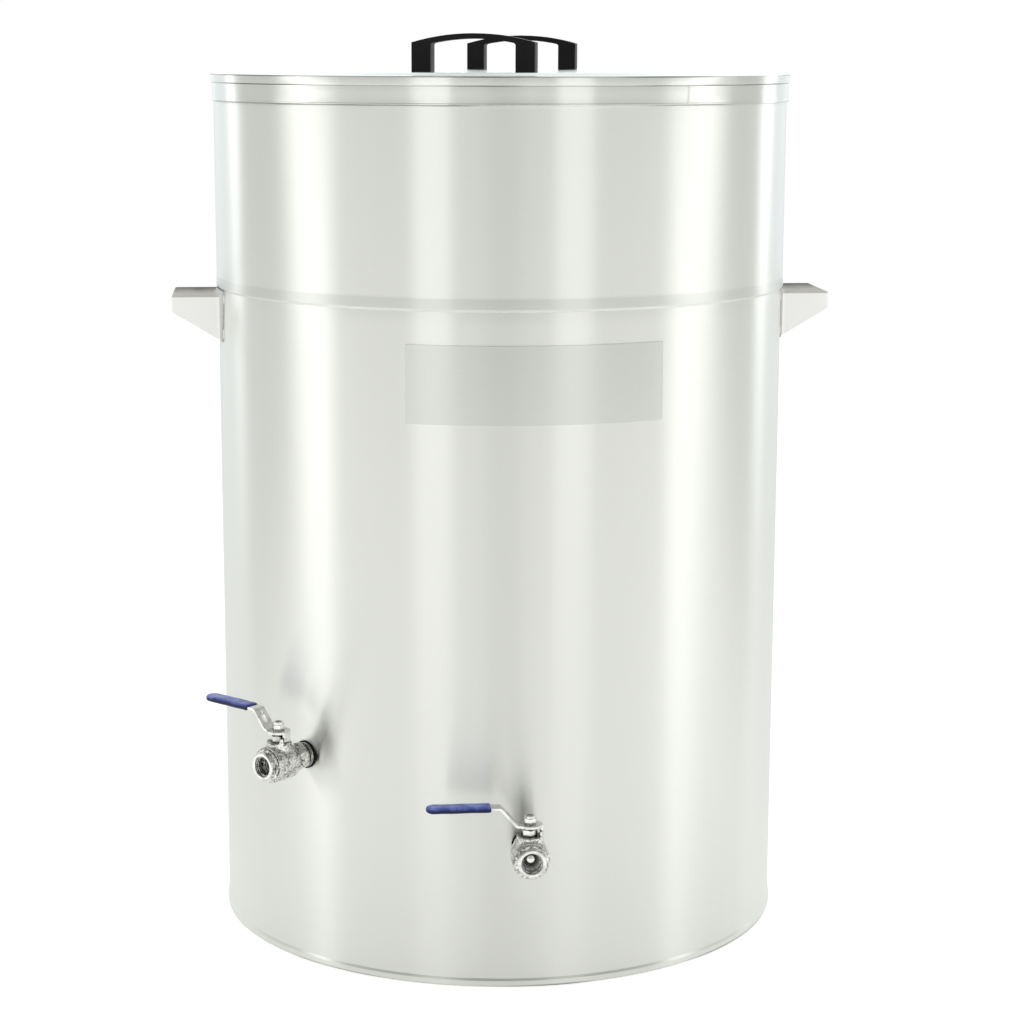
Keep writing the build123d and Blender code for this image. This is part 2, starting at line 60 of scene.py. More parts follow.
class Wire:  # a shader value that takes plain arithmetic
    def __init__(self, paint, socket):
        self.paint = paint
        self.socket = socket

    def calc(self, operation, *values):
        return self.paint.node("ShaderNodeMath", {"operation": operation}, dict(enumerate(values)))

    def __add__(self, other):
        return self.calc("ADD", self, other)

    def __radd__(self, other):
        return self.calc("ADD", other, self)

    def __sub__(self, other):
        return self.calc("SUBTRACT", self, other)

    def __rsub__(self, other):
        return self.calc("SUBTRACT", other, self)

    def __mul__(self, other):
        return self.calc("MULTIPLY", self, other)

    def __rmul__(self, other):
        return self.calc("MULTIPLY", other, self)

    def __truediv__(self, other):
        return self.calc("DIVIDE", self, other)

    def __rtruediv__(self, other):
        return self.calc("DIVIDE", other, self)


class Paint:  # one node tree, of a material or of the world
    def __init__(self, tree):
        self.tree = tree

    def node(self, kind, settings=None, inputs=None, output=0):
        made = self.tree.nodes.new(kind)
        for key, value in (settings or {}).items():
            setattr(made, key, value)
        for key, value in (inputs or {}).items():
            self.feed(made.inputs[key], value)
        return Wire(self, made.outputs[output])

    def feed(self, socket, value):
        if isinstance(value, Wire):
            self.tree.links.new(value.socket, socket)
        elif isinstance(value, tuple) and socket.type == "RGBA":
            socket.default_value = (*value, 1.0)
        else:
            socket.default_value = value

    def place(self):  # the piece's own place, which moves with its body
        return self.node("ShaderNodeTexCoord", output="Object")

    def axis(self, name):
        return self.node("ShaderNodeSeparateXYZ", inputs={0: self.place()}, output=name)

    def stretched(self, scale):
        settings = {"operation": "MULTIPLY"}
        return self.node("ShaderNodeVectorMath", settings, {0: self.place(), 1: scale})

    def fromAxis(self):  # distance from the tank's own axis
        settings = {"operation": "LENGTH"}
        return self.node("ShaderNodeVectorMath", settings, {0: self.stretched((1.0, 1.0, 0.0))}, "Value")

    def cloud(self, scale, detail=3.0, rough=0.6):  # noise, with one scale or a scale along each axis
        scale = scale if isinstance(scale, tuple) else (scale,) * 3
        inputs = {"Vector": self.stretched(scale), "Scale": 1.0, "Detail": detail, "Roughness": rough}
        return self.node("ShaderNodeTexNoise", inputs=inputs)

    def step(self, value, low, high):  # 0 below low, 1 above high
        inputs = {"Value": value, "From Min": low, "From Max": high}
        return self.node("ShaderNodeMapRange", {"interpolation_type": "SMOOTHSTEP"}, inputs)

    def band(self, value, low, high, soft):
        return self.step(value, low - soft, low) * (1 - self.step(value, high, high + soft))

    def mixed(self, share, first, second):
        return self.node("ShaderNodeMix", {"data_type": "RGBA"}, {0: share, 6: first, 7: second}, 2)

    def creviceShade(self, reach):  # painted shade: 1 deep in a corner, 0 on an open face
        near = self.node("ShaderNodeAmbientOcclusion", {"samples": 6}, {"Distance": reach}, "AO")
        return 1 - self.step(near, *openCorner)

    def bump(self, height, depth, edge=0.0):  # depth and the radius of softened edges in metres
        inputs = {"Height": height, "Distance": depth, "Strength": 1.0}
        if edge:
            inputs["Normal"] = self.node("ShaderNodeBevel", {"samples": 4}, {"Radius": edge})
        return self.node("ShaderNodeBump", inputs=inputs)

    def ray(self, kind):  # 1 for the rays of one kind
        return self.node("ShaderNodeLightPath", output=f"Is {kind} Ray")


class Finish(Paint):  # a material with one Principled shader
    def __init__(self, name, fixed):
        self.material = bpy.data.materials.new(name)
        self.material.use_nodes = True
        super().__init__(self.material.node_tree)
        self.shader = self.tree.nodes["Principled BSDF"]
        self.set(fixed)

    def set(self, sockets):
        for key, value in sockets.items():
            self.feed(self.shader.inputs[key], value)

    def surface(self, color, roughness, normal):
        self.set({"Base Color": color, "Roughness": roughness, "Normal": normal})
        return self.material


# Finishes: scales of noise per metre, depths and reaches in metres
sheetLook = {
    "color": (0.945, 0.955, 0.925),
    "dull": (0.875, 0.885, 0.855),
    "roughness": 0.335,
    "anisotropy": 1.0,
    "aroundTurn": 0.25,
    "grainLength": 7.0, "grainFineness": 1500.0, "grainDepth": 0.00001,
    "patches": (6.0, 6.0, 4.0),
    "smears": (34.0, 34.0, 2.6),
    "wearShares": (0.10, 0.16, 0.10), "wearSpread": 0.16, "wearRough": 0.22,
    "seamBand": (0.6795, 0.6900), "seamSoft": 0.0012, "seamDull": 0.5, "seamRough": 0.03,
    "seamLoss": 0.02,
    # colour of the painted shade lines
    "line": (0.32, 0.32, 0.30),
    "breaks": (6.0, 6.0, 60.0),
    "breakEdge": (0.42, 0.6), "breakLeast": 0.2,
}


def brushedSheet(name, grain, seam=False, gloss=None, pull=None, shade=1.0, marks=()):
    # the grain runs "around" the axis or "across" a flat piece; marks are painted shade lines, dark bands between
    # heights or radii
    look = sheetLook
    around = grain == "around"
    fixed = {"Metallic": 1.0, "Anisotropic": pull or look["anisotropy"]}
    fixed["Anisotropic Rotation"] = look["aroundTurn"] if around else 0.0
    paint = Finish(name, fixed)
    longWay, fine = look["grainLength"], look["grainFineness"]
    lines = paint.cloud((longWay, longWay, fine) if around else (longWay, fine, longWay), 3.0, 0.65)
    patches = paint.cloud(look["patches"], 4.0, 0.55)
    smears = paint.cloud(look["smears"])
    lineShare, patchShare, smearShare = look["wearShares"]
    wear = (lines - 0.5) * lineShare + (patches - 0.5) * patchShare + (smears - 0.5) * smearShare
    tone = paint.step(wear, -look["wearSpread"], look["wearSpread"])
    roughness = (gloss or look["roughness"]) + wear * look["wearRough"]
    if seam:
        ground = paint.band(paint.axis("Z"), *look["seamBand"], look["seamSoft"])
        tone = tone * (1 - ground * look["seamDull"])
        roughness = roughness + ground * look["seamRough"]
    dull, bright = (tuple(level * shade for level in look[key]) for key in ("dull", "color"))
    color = paint.mixed(tone, dull, bright)
    if seam:
        dark = tuple(level * (1 - look["seamLoss"]) for level in look["dull"])
        color = paint.mixed(ground, color, dark)
    if marks:
        kept = paint.step(paint.cloud(look["breaks"], 2.0, 0.5), *look["breakEdge"])
        faint = look["breakLeast"] + (1 - look["breakLeast"]) * kept
    # each painted shade line, broken up by noise
    for along, *extent in marks:
        value = paint.axis("Z") if along == "height" else paint.fromAxis()
        color = paint.mixed(paint.band(value, *extent) * faint, color, look["line"])
    return paint.surface(color, roughness, paint.bump(lines, look["grainDepth"]))


castLook = {
    "bright": (0.92, 0.92, 0.89),
    "dark": (0.28, 0.28, 0.265),
    # colour of the painted shade in corners, also used for the cold laps
    "creviceShade": (0.035, 0.035, 0.03),
    "reach": 0.016,
    "edge": 0.0006,
    "roughness": 0.17,
    "skin": (430.0, 4.0, 0.6),
    "skinShare": 0.6, "skinDepth": 0.0006, "skinRough": 0.0,
    "stains": 140.0,
    "wearEdge": (0.39, 0.54), "wearRough": 0.22,
    "folds": 230.0,
    "lapEdge": (0.0002, 0.0014), "lapShare": 0.5,
}
turnedLook = {
    "bright": (0.88, 0.88, 0.86),
    "dark": (0.60, 0.60, 0.58),
    # colour of the painted shade in corners
    "creviceShade": (0.03, 0.03, 0.028),
    "reach": 0.006,
    "edge": 0.0005,
    "roughness": 0.15,
    "skin": ((420.0, 420.0, 2600.0), 2.0, 0.5),
    "skinShare": 0.3, "skinDepth": 0.00002, "skinRough": 0.08,
    "stains": 90.0,
    "wearEdge": (0.34, 0.58), "wearRough": 0.16,
}


def workedSteel(name, look):  # cast or turned: a fine skin over broad stains, with painted shade in its corners
    paint = Finish(name, {"Metallic": 1.0})
    skin, share = paint.cloud(*look["skin"]), look["skinShare"]
    wear = paint.step(skin * share + paint.cloud(look["stains"]) * (1 - share), *look["wearEdge"])
    color = paint.mixed(wear, look["dark"], look["bright"])
    if "folds" in look:
        fold = paint.cloud(look["folds"], 2.0, 0.5) - 0.5  # thin dark cold laps where this crosses zero, drawn in the dark colour of the painted corner shade
        laps = (1 - paint.step(fold * fold, *look["lapEdge"])) * look["lapShare"]
        color = paint.mixed(laps, color, look["creviceShade"])
    # painted shade where corners and nearby parts close in
    color = paint.mixed(paint.creviceShade(look["reach"]), color, look["creviceShade"])
    roughness = look["roughness"] + (1 - wear) * look["wearRough"] + (skin - 0.5) * look["skinRough"]
    return paint.surface(color, roughness, paint.bump(skin, look["skinDepth"], look["edge"]))


polishedLook = {"dark": (0.80, 0.80, 0.79), "bright": (0.86, 0.86, 0.85), "haze": 160.0, "roughness": 0.05}


def polishedSteel(name):
    look = polishedLook
    paint = Finish(name, {"Metallic": 1.0})
    haze = paint.cloud(look["haze"], 2.0, 0.5)
    color = paint.mixed(haze, look["dark"], look["bright"])
    paint.set({"Base Color": color, "Roughness": look["roughness"] + haze * look["roughness"]})
    return paint.material


mouldLook = {
    # noise that mixes in the worn tone, on the sleeves a painted sheen
    "rubsAndSheen": (55.0, 55.0, 40.0),
    "rubEdge": (0.42, 0.68), "rubRough": 0.18,
    "skinRough": 0.06,
    # the edge and break of the painted underside shade
    "underEdge": (-0.1, 0.75), "underBreak": 0.8,
}


def plainMoulding(name, base, wornAndSheen, roughness, grain, depth, edge, fixed=None, under=None):
    # a moulded or coated piece: two tones, the lighter one worn and on the sleeves painted sheen, a fine skin and
    # softened edges, its lower faces given painted shade in the colour under
    look = mouldLook
    paint = Finish(name, fixed or {})
    skin = paint.cloud(grain, 2.0, 0.5)
    rubsAndSheen = paint.cloud(look["rubsAndSheen"], 4.0, 0.62)
    color = paint.mixed(paint.step(rubsAndSheen, *look["rubEdge"]), base, wornAndSheen)
    # painted shade: faces turned down take the darker colour under
    if under:
        way = paint.node("ShaderNodeNewGeometry", output="Normal")
        up = paint.node("ShaderNodeSeparateXYZ", inputs={0: way}, output="Z")
        above = paint.step(up + (rubsAndSheen - 0.5) * look["underBreak"], *look["underEdge"])
        color = paint.mixed(above, under, color)
    level = roughness + (rubsAndSheen - 0.5) * look["rubRough"] + (skin - 0.5) * look["skinRough"]
    return paint.surface(color, level, paint.bump(skin, depth, edge))


plateLook = {
    "light": (0.73, 0.745, 0.715),
    "grey": (0.63, 0.645, 0.615),
    "roughness": 0.30,
    "wearRough": 0.2,
    "anisotropy": 0.75,
    "lines": (40.0, 40.0, 2400.0),
    "lineShare": 0.6,
    "grains": 1500.0,
    "depth": 0.00002,
}


def plateFoil(name):
    look = plateLook
    fixed = {"Metallic": 1.0, "Anisotropic": look["anisotropy"]}
    fixed["Anisotropic Rotation"] = sheetLook["aroundTurn"]
    paint = Finish(name, fixed)
    lines = paint.cloud(look["lines"])
    grains = paint.cloud(look["grains"], 2.0)
    share = lines * look["lineShare"] + grains * (1 - look["lineShare"])
    color = paint.mixed(share, look["grey"], look["light"])
    roughness = look["roughness"] + (share - 0.5) * look["wearRough"]
    return paint.surface(color, roughness, paint.bump(share, look["depth"]))


satinLook = {
    "bright": (1.0, 1.0, 0.985),
    "dull": (0.97, 0.97, 0.955),
    "roughness": 0.50,
    "wearRough": 0.2,
    "metal": 0.1,
    "edge": (0.36, 0.35, 0.32),
    "specular": 0.02,
    "lines": (60.0, 60.0, 1300.0),
    "lineDepth": 0.00001,
    "smears": 45.0,
    # where the flange ends and its darker colour, which is painted shade
    "flangeRim": (0.3022, 0.3027), "flange": (0.66, 0.67, 0.65),
    # topNear to topFar: painted shade on the top plate, darker towards the back
    "topPlate": (0.6698, 0.6706), "topAcross": (-0.035, 0.06), "topBreak": 0.05,
    "topNear": (0.60, 0.585, 0.545), "topFar": (0.10, 0.095, 0.085),
    # colour of the painted shade in the handle's corners
    "creviceShade": (0.10, 0.10, 0.095),
    "reach": 0.004,
}


def satinSheet(name):
    look = satinLook
    fixed = {"Metallic": look["metal"], "Specular Tint": look["edge"], "Specular IOR Level": look["specular"]}
    paint = Finish(name, fixed)
    lines = paint.cloud(look["lines"])
    smears = paint.cloud(look["smears"])
    share = lines * 0.5 + smears * 0.5
    color = paint.mixed(share, look["dull"], look["bright"])
    # painted shade: the flange against the tank takes the darker flange colour
    clear = paint.step(paint.fromAxis(), *look["flangeRim"])
    color = paint.mixed(clear, look["flange"], color)
    # painted shade on the top plate, darker towards the back, standing in for its dark reflection
    across = paint.step(paint.axis("Y") + (smears - 0.5) * look["topBreak"], *look["topAcross"])
    plate = paint.mixed(across, look["topNear"], look["topFar"])
    color = paint.mixed(paint.step(paint.axis("Z"), *look["topPlate"]) * clear, color, plate)
    # painted shade in the handle's corners
    color = paint.mixed(paint.creviceShade(look["reach"]), color, look["creviceShade"])
    roughness = look["roughness"] + (share - 0.5) * look["wearRough"]
    return paint.surface(color, roughness, paint.bump(lines, look["lineDepth"]))


weldLook = {
    "steel": (0.70, 0.70, 0.67),
    "straw": (0.60, 0.555, 0.47),
    "heat": 60.0, "heatEdge": (0.5, 0.72),
    "roughness": 0.30,
    "scale": 1100.0, "scaleRough": 0.25, "scaleDepth": 0.00006,
}


def weldSteel(name):
    look = weldLook
    paint = Finish(name, {"Metallic": 1.0})
    heat = paint.cloud(look["heat"])
    scale = paint.cloud(look["scale"])
    color = paint.mixed(paint.step(heat, *look["heatEdge"]), look["steel"], look["straw"])
    roughness = look["roughness"] + (scale - 0.5) * look["scaleRough"]
    return paint.surface(color, roughness, paint.bump(scale, look["scaleDepth"]))


mouldings = {  # name, base, worn and sheen tone, roughness, grain, its depth, edge radius, fixed sockets, painted underside shade
    "seat_plastic": ("sealWhite", (0.86, 0.86, 0.83), (0.78, 0.78, 0.75), 0.35, 700.0, 0.00001, 0.0003),
    # the sleeves' lighter tone is painted sheen and their underside colour painted shade
    "blue_vinyl": (
        "blueVinyl", (0.064, 0.090, 0.335), (0.21, 0.255, 0.60), 0.30, 260.0, 0.00006, 0.0006,
        {"Coat Weight": 0.1, "Specular IOR Level": 0.25}, (0.003, 0.007, 0.055),
    ),
    "black_rubber": (
        "blackRubber", (0.004, 0.004, 0.004), (0.010, 0.010, 0.010), 0.6, 900.0, 0.00003, 0.0005,
        {"Specular IOR Level": 0.1},
    ),
    "black_plastic": (
        "blackPlastic", (0.003, 0.003, 0.0033), (0.006, 0.006, 0.0065), 0.5, 1400.0, 0.00003, 0.0008,
        {"Specular IOR Level": 0.25},
    ),
    "heater_brass": (
        "heaterBrass", (0.70, 0.50, 0.22), (0.52, 0.36, 0.15), 0.26, 800.0, 0.00002, 0.0006,
        {"Metallic": 1.0},
    ),
    "element_sheath": (
        "elementSheath", (0.22, 0.21, 0.20), (0.34, 0.31, 0.27), 0.45, 500.0, 0.00003, 0.0004,
        {"Metallic": 1.0},
    ),
    "head_casting": ("powderCoat", (0.075, 0.075, 0.080), (0.10, 0.10, 0.105), 0.45, 1100.0, 0.00008, 0.0008),
    "switch_plastic": ("switchBody", (0.45, 0.40, 0.31), (0.54, 0.49, 0.40), 0.45, 600.0, 0.00002, 0.0006),
}
lidEdge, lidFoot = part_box("lid_panel")[1].x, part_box("lid_skirt")[0].z
sheetShadeLines = {  # painted shade lines: a contact shadow at the shell's foot, a dark line at the lid panel's edge, a gap shadow at the skirt's foot and its groove's shadow; height or radius, from, to, softness
    "shell": [("height", -1.0, 0.0008, 0.0014)],
    "lid": [("radius", lidEdge - 0.0005, 1.0, 0.0004)],
    "skirt": [("height", -1.0, lidFoot + 0.0009, 0.0006), ("height", 0.8907, 0.8914, 0.0003)],
}
finishes = {
    "brushed_sheet": brushedSheet("brushedSheet", "around"),
    "cast_stainless": workedSteel("castSteel", castLook),
    "machined_steel": workedSteel("turnedSteel", turnedLook),
    "polished_steel": polishedSteel("polishedSteel"),
    "plate_metal": plateFoil("plateFoil"),
}
finishes.update((slot, plainMoulding(*row)) for slot, row in mouldings.items())
shellFinish = brushedSheet("brushedShell", "around", seam=True, marks=sheetShadeLines["shell"])
lidFinish = brushedSheet("brushedLid", "across", gloss=0.2, pull=0.5, marks=sheetShadeLines["lid"])
skirtFinish = brushedSheet("brushedSkirt", "around", gloss=0.26, shade=0.92, marks=sheetShadeLines["skirt"])
weldFinish = weldSteel("weldSteel")
hoodFinish = satinSheet("satinSheet")
markFinish = plainMoulding("markWhite", (0.80, 0.80, 0.78), (0.70, 0.70, 0.68), 0.45, 900.0, 0.00001, 0.0001)
for name, node in nodes.items():
    node.data.materials.clear()
    node.data.materials.append(finishes[slotOf[name]])
print("finishes:", len(bpy.data.materials))


# Mesh tools
outward = Matrix(((0, 0, 1, 0), (1, 0, 0, 0), (0, 1, 0, 0), (0, 0, 0, 1)))  # lays X, Y and Z along Y, Z and X


def onTank(azimuth, radius, height):  # azimuth 0 is the front, 90 the right
    turn = math.radians(azimuth)
    return Vector((radius * math.sin(turn), -radius * math.cos(turn), height))


def tankFrame(azimuth, radius, height):  # +X straight out from the tank, +Z up
    out, up = onTank(azimuth, 1.0, 0.0), Vector((0, 0, 1))
    turn = Matrix((out, up.cross(out), up)).transposed().to_4x4()
    return Matrix.Translation(onTank(azimuth, radius, height)) @ turn


def frameAt(point):
    return tankFrame(math.degrees(math.atan2(point.x, -point.y)), point.xy.length, point.z)


def linked(name, data):  # a new object in the scene
    made = bpy.data.objects.new(name, data)
    bpy.context.scene.collection.objects.link(made)
    return made


def addPiece(name, mesh, body, slot, stands=(), smooth=35, finish=None):
    mesh.name = name
    piece = linked(name, mesh)
    mesh.materials.clear()
    mesh.materials.append(finish or finishes[slot])
    mesh.shade_smooth()
    mesh.set_sharp_from_angle(angle=math.radians(smooth))
    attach(piece, body)
    if stands:
        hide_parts(*stands)


def meshFrom(bm):
    mesh = bpy.data.meshes.new("piece")
    bm.to_mesh(mesh)
    bm.free()
    return mesh


def cleaned(bm):
    bmesh.ops.remove_doubles(bm, verts=bm.verts, dist=1e-7)
    bmesh.ops.recalc_face_normals(bm, faces=bm.faces)
    return meshFrom(bm)


def evaluated(draft):  # the mesh that a draft's modifiers make
    made = bpy.data.meshes.new_from_object(draft.evaluated_get(bpy.context.evaluated_depsgraph_get()))
    bpy.data.objects.remove(draft)
    return made


def loft(rows, ring=False):
    # joins closed rows of points, with flat ends unless the rows form a ring
    bm = bmesh.new()
    grid = [[bm.verts.new(point) for point in row] for row in rows]
    pairs = list(zip(grid, grid[1:])) + ([(grid[-1], grid[0])] if ring else [])
    for here, ahead in pairs:
        for index in range(len(here)):
            after = (index + 1) % len(here)
            bm.faces.new((here[index], here[after], ahead[after], ahead[index]))
    if not ring:
        bm.faces.new(grid[0])
        bm.faces.new(reversed(grid[-1]))
    return cleaned(bm)


def softened(corners, parts=6):
    # corners of (radius, height, bend) in millimetres, with each bend as an arc
    outline = []
    for index, (radius, height, bend) in enumerate(corners):
        here = Vector((radius, height))
        if not bend:
            outline.append(here)
            continue
        back = (Vector(corners[index - 1][:2]) - here).normalized()
        ahead = (Vector(corners[(index + 1) % len(corners)][:2]) - here).normalized()
        half = back.angle(ahead) / 2
        centre = here + (back + ahead).normalized() * bend / math.sin(half)
        start = here + back * bend / math.tan(half) - centre
        sweep = start.angle_signed(here + ahead * bend / math.tan(half) - centre)
        for part in range(parts + 1):
            outline.append(centre + Matrix.Rotation(-sweep * part / parts, 2) @ start)
    return outline


def ringOutline(inner, outer, low, high, bends, parts=6):
    corners = ((inner, low), (outer, low), (outer, high), (inner, high))
    return softened([(*corner, bend) for corner, bend in zip(corners, bends)], parts)


def divided(outline, longest):
    fine = []
    for here, ahead in zip(outline, outline[1:] + outline[:1]):
        cuts = max(1, math.ceil((ahead - here).length / longest))
        fine += [here.lerp(ahead, cut / cuts) for cut in range(cuts)]
    return fine


def lathe(corners, size, ripple=None):
    # spins softened corners round the tank's axis, with the piece's own steps
    outline = divided(softened(corners), size["longest"])
    rows = []
    for step in range(size["steps"]):
        azimuth = 360 * step / size["steps"]
        grows = [ripple(azimuth, height) if ripple else 0.0 for _, height in outline]
        points = zip(outline, grows)
        rows.append([onTank(azimuth, (point.x + grow) * mm, point.y * mm) for point, grow in points])
    return loft(rows, ring=True)


def spin(place, outline, steps, shape=None):
    # spins a closed outline of (radius, distance) in millimetres round the +X of a placed frame
    rows = []
    for step in range(steps):
        turn = 2 * math.pi * step / steps
        row = []
        for radius, along in outline:
            size = (shape(turn, radius, along) if shape else radius) * mm
            row.append(place @ Vector((along * mm, size * math.cos(turn), size * math.sin(turn))))
        rows.append(row)
    return loft(rows, ring=True)


def wavy(size, around, tall, seed):
    # a slow unevenness of rolled sheet: size in millimetres, lengths in metres
    def grow(azimuth, height):
        place = onTank(azimuth, casing["radius"] * mm / around, height * mm / tall + seed)
        return size * noise.noise(place)

    return grow


def softCopy(node, cell, passes):
    # a cast, moulded or dipped skin over a CAD piece: small cells, then smoothing
    mesh = nodes[node].data.copy()
    mesh.transform(nodes[node].matrix_world)
    draft = linked("draft", mesh)
    draft.modifiers.new("join", "WELD").merge_threshold = 1e-6
    cells = draft.modifiers.new("cells", "REMESH")
    cells.mode = "VOXEL"
    cells.voxel_size = cell * mm
    draft.modifiers.new("soften", "SMOOTH").iterations = passes
    return evaluated(draft)


def roughened(mesh, size, length):
    # pushes each point along its normal: size in millimetres, length in metres
    normals = [vertex.normal.copy() for vertex in mesh.vertices]
    for vertex, normal in zip(mesh.vertices, normals):
        vertex.co += normal * size * mm * noise.noise(vertex.co / length)


weld = {
    "across": 7,
    "sunk": 0.25,
    "root": 0.65,
    "bow": 0.9,
    "dip": 0.35,
    "stepsPerRipple": 5,
    "leastEnd": 0.02,
    "smooth": 60,
}


def weldBead(name, path, normals, width, proud, ring=False):
    # lays overlapping crescents along a path, all sizes in millimetres but the path in metres
    rows = []
    last = len(path) - 1
    for index, (point, normal) in enumerate(zip(path, normals)):
        behind, beyond, ends = index - 1, (index + 1) % len(path), 1.0
        if not ring:
            behind, beyond = max(behind, 0), min(index + 1, last)
            inside = min(index, last - index) / weld["stepsPerRipple"]
            ends = math.sqrt(max(weld["leastEnd"], min(1.0, inside)))
        along = (path[beyond] - path[behind]).normalized()
        sideways = along.cross(normal).normalized()
        row = []
        for part in range(weld["across"]):
            side = 2 * part / (weld["across"] - 1) - 1
            phase = (index / weld["stepsPerRipple"] + weld["bow"] * side * side) % 1.0
            crest = (1 - side * side) * (1 - weld["dip"] * phase)
            lift = (proud * crest * ends - weld["sunk"] * side * side) * mm
            row.append(point + sideways * side * width / 2 * ends * mm + normal * lift)
        row.append(point - normal * weld["root"] * mm)
        rows.append(row)
    addPiece(name, loft(rows, ring), "tank", "brushed_sheet", smooth=weld["smooth"], finish=weldFinish)


def ringPath(radius, height, ripple, lean):
    # points round the tank with normals that lean up from the radius by some degrees
    count = max(12, round(2 * math.pi * radius / ripple)) * weld["stepsPerRipple"]
    turns = [360 * index / count for index in range(count)]
    tilt = math.radians(lean)
    normals = [onTank(turn, math.cos(tilt), math.sin(tilt)) for turn in turns]
    return [onTank(turn, radius * mm, height * mm) for turn in turns], normals


# Casing: two courses of sheet, the upper one set out over a joggle
casing = {
    "radius": 300.0,
    "sheet": 1.2,
    "lipTall": 14.0, "lipFlare": 0.7, "lipEdge": 2.6,
    "rimWidth": 13.5, "rimBend": 2.4,
    "hemHeight": 8.5, "hemInset": 3.6, "hemRound": 1.4, "hemLip": 2.2,
    "steps": 360,
    "longest": 14.0,
    "wave": (0.10, 0.16, 0.5, 3.0),  # size, lengths round and up, seed
    "seamAzimuths": (158.0, -150.0), "seamMargins": ((4.0, 6.0), (6.0, 34.0)), "seamStep": 1.6,
    "seamBead": (4.0, 0.45),  # width and how proud it stands, as for every bead
}


def buildCasing():
    size = casing
    radius, inside = size["radius"], size["radius"] - size["sheet"]
    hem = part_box("shell_lower")[1].x / mm
    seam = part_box("shell_lower")[1].z / mm
    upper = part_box("shell_upper")[1].x / mm
    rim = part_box("shell_upper")[1].z / mm
    hemIn, roll, hemTop = radius - size["hemInset"], size["hemRound"], size["hemHeight"]
    lower = [
        (hemIn, 0, roll),
        (hem, 0, roll),
        (hem, hemTop - size["hemLip"], roll),
        (radius, hemTop, 0.3),
        (radius, seam, 0.2),
        (inside, seam, 0),
        (inside, hemTop, 0),
        (hemIn, hemTop, roll),
    ]
    full, under = seam + size["lipTall"], rim - size["sheet"]
    edge, flared = seam + size["lipEdge"], upper + size["lipFlare"]
    rimIn = upper - size["rimWidth"]
    higher = [
        (radius, seam, 0.2),
        (flared, edge, 0.8),
        (upper, full, 20),
        (upper, rim, size["rimBend"]),
        (rimIn, rim, 0.4),
        (rimIn, under, 0.4),
        (upper - size["sheet"], under, size["rimBend"] - size["sheet"]),
        (upper - size["sheet"], full, 20),
        (flared - size["sheet"], edge, 0.3),
        (inside, seam, 0),
    ]
    wave = wavy(*size["wave"])
    courses = (("casingLower", lower, "shell_lower"), ("casingUpper", higher, "shell_upper"))
    for name, corners, node in courses:
        mesh = lathe(corners, size, wave)
        addPiece(name, mesh, "tank", "brushed_sheet", [node], finish=shellFinish)
    spans = (("casingWeldLower", hemTop, seam, radius), ("casingWeldUpper", full, rim, upper))
    seams = zip(spans, size["seamAzimuths"], size["seamMargins"])
    for (name, low, high, out), azimuth, (below, above) in seams:
        low, high = low + below, high - above
        # a ripple every three steps
        count = int((high - low) / size["seamStep"]) * weld["stepsPerRipple"] // 3
        heights = [(low + (high - low) * index / count) * mm for index in range(count + 1)]
        path = [onTank(azimuth, out * mm, height) for height in heights]
        weldBead(name, path, [onTank(azimuth, 1.0, 0.0)] * len(path), *size["seamBead"])
    print("casing built")


# Wax vessel, seen with the lid lifted
vessel = {
    "sheet": 1.5,
    "bead": 5.0, "beadRound": 2.2,
    "floorBead": (6.0, 1.6),
    "ringBead": (5.0, 1.2),
    "fillerBead": (3.6, 1.0), "fillerSteps": 80,
    "beadLean": 45,
    "ripple": 3.2,
    "steps": 300,
    "longest": 20.0,
    "wave": (0.2, 0.14, 0.4, 7.0),
}


def buildVessel():
    size = vessel
    low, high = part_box("vessel_wall")
    outer, foot, top, sheet = high.x / mm, low.z / mm, high.z / mm, size["sheet"]
    wall = [
        (outer - sheet, foot, 0),
        (outer, foot, 0),
        (outer, top, size["beadRound"]),
        (outer - size["bead"], top, size["beadRound"]),
        (outer - size["bead"], top - size["bead"], size["beadRound"]),
        (outer - sheet, top - size["bead"], 0.4),
    ]
    mesh = lathe(wall, size, wavy(*size["wave"]))
    addPiece("vesselWall", mesh, "tank", "brushed_sheet", ["vessel_wall"])
    path, normals = ringPath(outer - sheet, foot, size["ripple"], size["beadLean"])
    inward = [Vector((-normal.x, -normal.y, normal.z)) for normal in normals]
    weldBead("vesselFloorWeld", path, inward, *size["floorBead"], ring=True)
    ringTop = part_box("top_ring")[1].z / mm
    path, normals = ringPath(outer, ringTop, size["ripple"], size["beadLean"])
    weldBead("vesselRingWeld", path, normals, *size["ringBead"], ring=True)
    low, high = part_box("jacket_filler_neck")
    centre, reach = (low + high) / 2, (high.x - low.x) / 2
    path, normals = [], []
    for index in range(size["fillerSteps"]):
        turn = 2 * math.pi * index / size["fillerSteps"]
        x, y = math.cos(turn), math.sin(turn)
        path.append(Vector((centre.x + reach * x, centre.y + reach * y, low.z)))
        normals.append(Vector((x, y, 1.0)).normalized())
    weldBead("fillerWeld", path, normals, *size["fillerBead"], ring=True)
    print("vessel built")


# Lid: a raised panel folded over a hemmed skirt
lid = {
    "sheet": 1.2,
    "rise": 3.0, "riseInner": 268.0, "riseOuter": 280.0, "riseBend": 8,
    "bandLow": 891.5,
    "groove": 0.9,
    "hem": 2.5, "hemProud": 0.5,
    "steps": 360,
    "longest": 9.0,
    "panelWave": 0.5,
    "panelWaves": 7.0,  # per metre
    "skirtWave": (0.5, 0.045, 0.03, 5.0),
    "lapAzimuth": 31.6, "lapWidth": 2.4, "lapSunk": -0.1, "lapProud": 0.28, "lapGap": 0.3,
}


